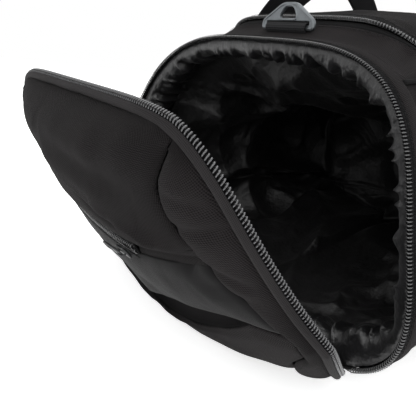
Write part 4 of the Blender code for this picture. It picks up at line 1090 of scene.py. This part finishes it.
# ---- webbing, handles and rings --------------------------------------------------------------------
def band(width, thick):
    """Section of flat webbing: across, through; rounded selvedges."""
    a, t = width / 2, thick / 2
    left = [(-a, 0), (-a + 0.0004, t * 0.85), (-a + 0.0016, t * 1.12), (-a + 0.0034, t), (-a / 3, t)]
    top = left + [(-p, q) for p, q in left[::-1]]
    return array(top + [(p, -q) for p, q in top[-2:0:-1]])


def straps_and_handles():
    """Webbing sewn down the sides, the two arches, and the roots that join them."""
    part, thick = band(WEBBING, 0.0019), band(WEBBING, 0.003)
    across = part[None, :, 0]
    for side, sign in SIDES:
        for end, ex in ENDS:
            a = linspace(TOP_SEAM + 0.009, LOW_SEAM - 0.006, 90)[:, None]
            xi = (ex * HANDLE_HALF_SPAN + across) / HALF
            sunk = side_sag(a, xi, sign)
            press = sunk.mean(1)[:, None] * 0.6 + sunk * 0.4
            grid = hull(sign * a, xi, minimum(press, sunk) - 0.0014 - part[None, :, 1])
            name = f"strap_{side}_{end}"
            bar(name + "_webbing", grid, "webbing", "bag", name)

            def at_strap(s, e, d, sign=sign, ex=ex):
                q = abs(asarray(s, float)) / RUN
                xi = (ex * HANDLE_HALF_SPAN + asarray(e, float)) / HALF
                return hull(sign * q, xi, minimum(side_sag(q, xi, sign), 0.004) - 0.0024 + d)

            top, low = (TOP_SEAM + 0.012) * RUN, (LOW_SEAM - 0.008) * RUN
            for n, e in enumerate((-0.0155, 0.0155)):
                stitches(f"{name}_stitch_{n}", at_strap, (top, low), e, 0.0, "bag")
            for n, (a0, a1) in enumerate(((top, top + 0.028), (low - 0.028, low))):
                for m, flip in enumerate((1, -1)):
                    e = lambda q, a0=a0, f=flip: f * (-0.015 + 0.03 * (q - a0) / 0.028)
                    stitches(f"{name}_cross_{n}{m}", at_strap, (a0, a1), e, 0.0, "bag")
        # the handle's arch, wide in its own plane, with a slight wander
        t = linspace(0, pi, 400)
        x = -HANDLE_HALF_SPAN * abs(cos(t)) ** (2 / HANDLE_POINT) * np.sign(cos(t))
        z = 0.004 + (HANDLE_RISE - 0.004) * sin(t) ** (2 / HANDLE_POINT)
        run = run_of(x, z)
        t, x, z = even((t, x, z), run, 140)
        path = c_[x, z]
        tan = unit(gradient(path, axis=0))
        out = c_[-tan[:, 1], tan[:, 0]]
        body = "handle_" + side
        lean = (0.0011 * sin(2.3 * t + 0.6) * sin(t))[:, None]
        px, pz = (path[:, None, i] + out[:, None, i] * thick[None, :, 0] for i in (0, 1))
        curl = 0.0008 * sin(t)[:, None] * (thick[None, :, 0] / 0.019) ** 2
        py = lean + curl + thick[None, :, 1]
        grid = points(px, sign * (HANDLE_PIVOT_Y + py), HANDLE_PIVOT_Z + pz)
        bar(body + "_webbing", grid, "webbing", body, body)
        where = linspace(0, 1, len(t))

        def at_handle(s, e, d, sign=sign, x=x, z=z, out=out, lean=lean, t=t, run=run):
            q = clip(asarray(s, float) / run[-1], 0, 1)
            ox, oz, nx, nz = (interp(q, where, c) for c in (x, z, out[:, 0], out[:, 1]))
            y = interp(q, where, lean[:, 0]) + 0.0008 * interp(q, where, sin(t)) * (e / 0.019) ** 2
            return points(ox + nx * e, sign * (HANDLE_PIVOT_Y + y + 0.0016 - d), HANDLE_PIVOT_Z + oz + nz * e)

        for n, e in enumerate((-0.016, 0.016)):
            stitches(f"{body}_stitch_{n}", at_handle, (0.004, run[-1] - 0.004), e, 0.0, body)
        # where the webbing leaves the strap on the side and turns up into the handle
        for end, ex in ENDS:
            xi = (ex * HANDLE_HALF_SPAN + across) / HALF
            a = TOP_SEAM + 0.009 + array([0.02, 0.006])[:, None]
            low = hull(sign * a, xi, side_sag(a, xi, sign) - 0.0036 - part[None, :, 1])
            high = grid[0] if ex < 0 else grid[-1][(9 - arange(18)) % 18]
            rise = stack([high + [0, 0, d] for d in (0.0, 0.006)])
            knots = concatenate([low, rise])
            u = linspace(0, 3, 26)
            i = clip(u.astype(int), 0, 2)
            path = spline(*(knots[clip(i + k, 0, 3)] for k in (-1, 0, 1, 2)), (u - i)[:, None, None])
            root = bar(f"{body}_root_{end}", path, "webbing", None)
            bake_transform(root)


def smooth_loop(points, n):
    """Even closed curve through a loop of points."""
    p = array(points, float)
    u = linspace(0, len(p), n, endpoint=False)
    i = u.astype(int)
    return spline(*(p[(i + k) % len(p)] for k in (-1, 0, 1, 2)), (u - i)[:, None])


def corners(points, radius, n=5):
    """Outline with each corner replaced by a small curve."""
    p = array(points, float)
    out = []
    for a, q, b in zip(np.roll(p, 1, 0), p, np.roll(p, -1, 0)):
        back, ahead = (v / np.linalg.norm(v) * min(radius, np.linalg.norm(v) * 0.45) for v in (a - q, b - q))
        out += [q + (1 - k) ** 2 * back + k * k * ahead for k in linspace(0, 1, n)]
    return array(out)


def inwards(loop):
    t = unit(np.roll(loop, -1, 0) - np.roll(loop, 1, 0))
    return c_[-t[:, 1], t[:, 0]]


def inset(loop, by):
    """Outline moved inwards by a distance; loops run anticlockwise."""
    return loop + by * inwards(loop)


def soft_edge(low, high, soft):
    """Heights up a plate's rounded edge, each with how far in it stands."""
    return ((low, soft), (low + soft * 0.3, soft * 0.3), (low + soft, 0), (high - soft, 0),
            (high - soft * 0.3, soft * 0.3), (high, soft))


def cast_plate(loops, thick, soft):
    """Flat plate with holes, its edges softened: vertices (x, y, z) and triangles."""
    verts, faces, flat, base = [], [], [], 0
    for i, loop in enumerate(loops):
        verts += [c_[inset(loop, b if i == 0 else -b), np.full(len(loop), z)]
                  for z, b in soft_edge(-thick / 2, thick / 2, soft)]
        f = quads(6, len(loop), False, True) + base
        f = f if i == 0 else f[:, ::-1]
        faces += [f[:, :3], f[:, [0, 2, 3]]]
        flat.append((base, len(loop)))
        base += 6 * len(loop)
    for level, flip in ((0, 1), (5, -1)):
        sheets = [[Vector((*p[:2], 0)) for p in verts[6 * i + level]] for i in range(len(loops))]
        index = concatenate([b + level * n + arange(n) for b, n in flat])
        tris = index[array(geometry.tessellate_polygon(sheets))]
        p = concatenate(verts)[tris]
        turn = cross(p[:, 1, :2] - p[:, 0, :2], p[:, 2, :2] - p[:, 0, :2]) * flip > 0
        tris[turn] = tris[turn][:, ::-1]
        faces.append(tris)
    return concatenate(verts), concatenate(faces)


def rings():
    """Cast strap rings with raised beads, each in a folded webbing loop."""
    w, h = RING_WIDTH / 2, RING_HEIGHT
    outer = corners([(-w, -0.002), (w, -0.002), (w, 0.0056), (w * 0.27, h), (-w * 0.27, h), (-w, 0.0056)],
                    0.004, 8)
    slot = corners([(-0.0242, 0.0018), (0.0242, 0.0018), (0.0242, 0.0048), (-0.0242, 0.0048)], 0.001)
    eye = corners([(-0.01, 0.007), (0.01, 0.007), (0.0046, 0.0156), (-0.0046, 0.0156)], 0.0034, 8)
    verts, faces = cast_plate([outer, slot, eye], RING_THICK * 0.8, 0.0006)
    for end, ex in ENDS:
        x, z = ex * (HALF - RING_INSET), RING_PIVOT_Z
        body = "d_ring_" + end

        def stand(p):
            return points(x + p[..., 2], p[..., 0], z + p[..., 1])

        make(body + "_plate", stand(verts), faces, verts[:, :2], "ring", body, body,
             smooth=False)
        # raised beads along the rim and round the eye, on both faces
        for name, loop, by in (("rim", outer, 0.0014), ("eye", eye, -0.0012)):
            run = inset(loop, by)
            run = run[r_[True, np.linalg.norm(np.diff(run, axis=0), axis=1) > 1e-5]]
            flat = run[:, None] + 0.0009 * cos(ROUND)[None, :, None] * inwards(run)[:, None]
            for side, sign in (("front", -1), ("back", 1)):
                high = sign * (RING_THICK * 0.4 - 0.0001) + 0.0006 * sin(ROUND)[None, :, None]
                grid = concatenate([flat, np.broadcast_to(high, (len(run), 8, 1))], -1)
                bar(f"{body}_{name}_{side}", stand(grid), "ring", body, closed=True)
        # webbing folded round the ring's bar, both tails sewn to the top; it is painted lighter than the
        # handles' webbing, as painted light on the fold
        r = 0.0034
        tail = x - ex * 0.0084
        under = float(bare_top(tail, 0.0, -0.001)[2])
        fold = [(x + ex * r * cos(a), z + r * sin(a)) for a in linspace(radians(-60), radians(200), 40)]
        p = array([(tail, under), (x + ex * 0.001, z - r - 0.0004)] + fold + [(tail, under + 0.0016)])
        run = run_of(*p.T)
        p = stack(even(p.T, run, 100), -1)
        for _ in range(3):
            p[1:-1] = (p[:-2] + 2 * p[1:-1] + p[2:]) / 4
        t = unit(gradient(p, axis=0))
        part = band(0.045, 0.0011)
        px = p[:, None, 0] - t[:, None, 1] * part[None, :, 1]
        pz = p[:, None, 1] + t[:, None, 0] * part[None, :, 1]
        grid = points(px, part[None, :, 0], pz)
        bar(f"ring_loop_{end}_webbing", grid, "loop", "bag", "ring_loop_" + end)

        def at_tail(s, e, d):
            q = 99 - asarray(s, float) / run[-1] * 99
            px, pz = (interp(q, arange(100), p[:, i]) for i in (0, 1))
            return points(px, e, pz + 0.0008 - d)

        for n, e in enumerate((-0.0205, 0.0205)):
            stitches(f"ring_loop_{end}_stitch_{n}", at_tail, (0.0008, 0.0056), e, 0.0, "bag")


# ---- zip sliders and pulls ---------------------------------------------------------------------------
def rounded(loop, low, high, soft):
    """Plate from an outline, its edges rounded by soft; outline in x, y."""
    p = smooth_loop(loop, 64)
    out = unit(p - p.mean(0))
    return array([c_[p - out * b, np.full(len(p), z)] for z, b in soft_edge(low, high, soft)])


def hardware():
    """Zip sliders and their pull tabs."""
    def axes(x_dir, z_dir):
        x, z = unit(array(x_dir, float)), array(z_dir, float)
        z = unit(z - x * (x @ z))
        return x, cross(z, x), z

    def to_world(points, where, basis):
        return where + sum(points[..., i:i + 1] * basis[i] for i in range(3))

    def both_sides(*half):
        """A closed outline from the half of it below y = 0."""
        return [*half, *((x, -y) for x, y in half[::-1])]

    plan = both_sides((-0.007, -0.0028), (-0.005, -0.0046), (0.0, -0.0036), (0.005, -0.004),
                      (0.007, -0.0024))
    tab = both_sides((-0.002, -0.002), (0.0, -0.0026), (0.01, -0.0027), (0.019, -0.0034),
                     (0.0222, -0.002))
    hole = both_sides((0.0116, -0.0007), (0.0122, -0.0011), (0.014, -0.0014), (0.0178, -0.0019),
                      (0.019, -0.0012))
    turn = Matrix.Rotation(-FLAP_OPEN, 3, "Y")

    def from_flap(v):
        return array(turn @ Vector(v))

    main, above = (on_top(0.05, -LID_HALF_WIDTH, d) for d in (-0.0034, -0.0134))
    up = (above - main) / 0.01 * [0, 1, 1]
    y, h = -0.036, POCKET_ZIP_H
    slope = float(flap_face(y + 0.01, h) - flap_face(y - 0.01, h)) / 0.02
    size = (1 + slope * slope) ** 0.5
    away, run = (-1 / size, -slope / size, 0), (-slope / size, 1 / size, 0)
    face = float(flap_face(y, h))
    pocket, pin = (flap_world(face - d * away[0], y + d * away[1], h) for d in (0.002, 0.0064))
    lie = axes(from_flap(run), from_flap(away))
    sig = ZIP_END - 0.04
    spot, ahead, out = (hull(sig - a, open_xi(0.0052), d)
                        for a, d in ((0, -0.001), (0.02, -0.001), (0, -0.011)))
    along = axes((1, 0, 0), up)
    for name, where, basis, pivot, pull_basis in (
            ("main_zip", main, along, main + 0.0046 * up, along), ("pocket", pocket, lie, pin, lie),
            ("end_zip", spot, axes(ahead - spot, out - spot), spot + 0.58 * (out - spot),
             axes((0, 0, -1), (0, 1, 0)))):
        top = to_world(rounded(plan, 0.0012, 0.0028, 0.0005), where, basis)
        low = to_world(rounded([(a * 0.94, b * 0.9) for a, b in plan], 0.0, 0.0009, 0.0003), where, basis)
        slide = name + "_slider"
        bar(slide + "_top", top, "slider", slide, slide)
        bar(slide + "_low", low, "slider", slide)
        t = linspace(0, pi, 16)
        arch = c_[-0.0042 * cos(t), 0 * t, 0.0026 + 0.003 * sin(t) ** 0.7]
        verts, faces = tube(arch, 0.0008, 8)
        make(slide + "_bridge", to_world(verts, where, basis), faces, verts[:, :2], "slider", slide)
        outer, inner = smooth_loop(tab, 96), smooth_loop(hole, 96)
        k = [(0, 0), (0.06, 0.7), (0.25, 1), (0.75, 1), (0.94, 0.7), (1, 0)]
        k = array(k + [(f, -t) for f, t in k[-2:0:-1]])
        xy = outer[:, None] + (inner - outer)[:, None] * k[None, :, :1]
        skin = concatenate([xy, np.broadcast_to(0.0008 * k[None, :, 1:], xy.shape[:2] + (1,))], -1)
        pull = name + "_pull"
        bar(pull + "_tab", to_world(skin, pivot, pull_basis), "pull", pull, pull, closed=True)


# ---- stage ----------------------------------------------------------------------------------------------
def stage():
    """Floor, soft studio light and camera."""
    scene = bpy.context.scene
    scene.view_settings.view_transform = "Standard"
    verts = [(-4, -4, -0.0005), (4, -4, -0.0005), (4, 4, -0.0005), (-4, 4, -0.0005)]
    g = Graph("floor_paint", Specular_IOR_Level=0.2, Emission_Color=(1, 1, 1, 1), Emission_Strength=0.7)
    grain = g.noise(40.0, 3.0, g.node("TexCoord").outputs["Object"])
    LOOK["floor"] = g.surface(g.ramp(grain, [(0.3, (0.86, 0.86, 0.86)), (0.7, (0.9, 0.9, 0.9))]),
                              g.math("MULTIPLY_ADD", grain, 0.1, 0.7))
    floor = make("floor", verts, [(0, 1, 2, 3)], [(0, 0), (1, 0), (1, 1), (0, 1)], "floor", None)
    world = bpy.data.worlds.new("studio")
    scene.world = world
    world.use_nodes = True
    back = world.node_tree.nodes["Background"]
    back.inputs["Color"].default_value = (1, 1, 1, 1)
    back.inputs["Strength"].default_value = 1.0
    for name, spot, aim, size, power in (("key", (-1.1, -0.6, 1.5), (-0.1, 0, 0.15), 1.2, 9),
                                         ("fill", (0.6, -1.6, 1.0), (0, 0, 0.1), 1.4, 4),
                                         ("top", (0.2, 0.5, 1.8), (0, 0, 0.2), 1.4, 8)):
        lamp = bpy.data.lights.new(name, "AREA")
        lamp.shape, lamp.size, lamp.energy = "SQUARE", size, power
        ob = bpy.data.objects.new(name, lamp)
        scene.collection.objects.link(ob)
        ob.location = spot
        ob.rotation_euler = (Vector(aim) - Vector(spot)).to_track_quat("-Z", "Y").to_euler()
    cam = bpy.data.cameras.new("camera")
    cam.sensor_width, cam.lens = 36.0, 480 / 416 * 36.0
    cam.clip_start = 0.01
    ob = bpy.data.objects.new("camera", cam)
    scene.collection.objects.link(ob)
    right, up, fore = (0.80382, -0.5813, 0.12633), (0.07622, 0.31126, 0.94726), (0.58996, 0.7518, -0.2945)
    place = (-0.50536, -0.30073, 0.20576)
    ob.matrix_world = Matrix([(right[i], up[i], -fore[i], place[i]) for i in range(3)] + [(0, 0, 0, 1)])
    scene.camera = ob


body_panels()
top_parts()
rim_parts()
lining_sack()
flap_parts()
straps_and_handles()
rings()
hardware()
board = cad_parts["base_board"]
board.data.materials.clear()
board.data.materials.append(LOOK["board"])
stage()
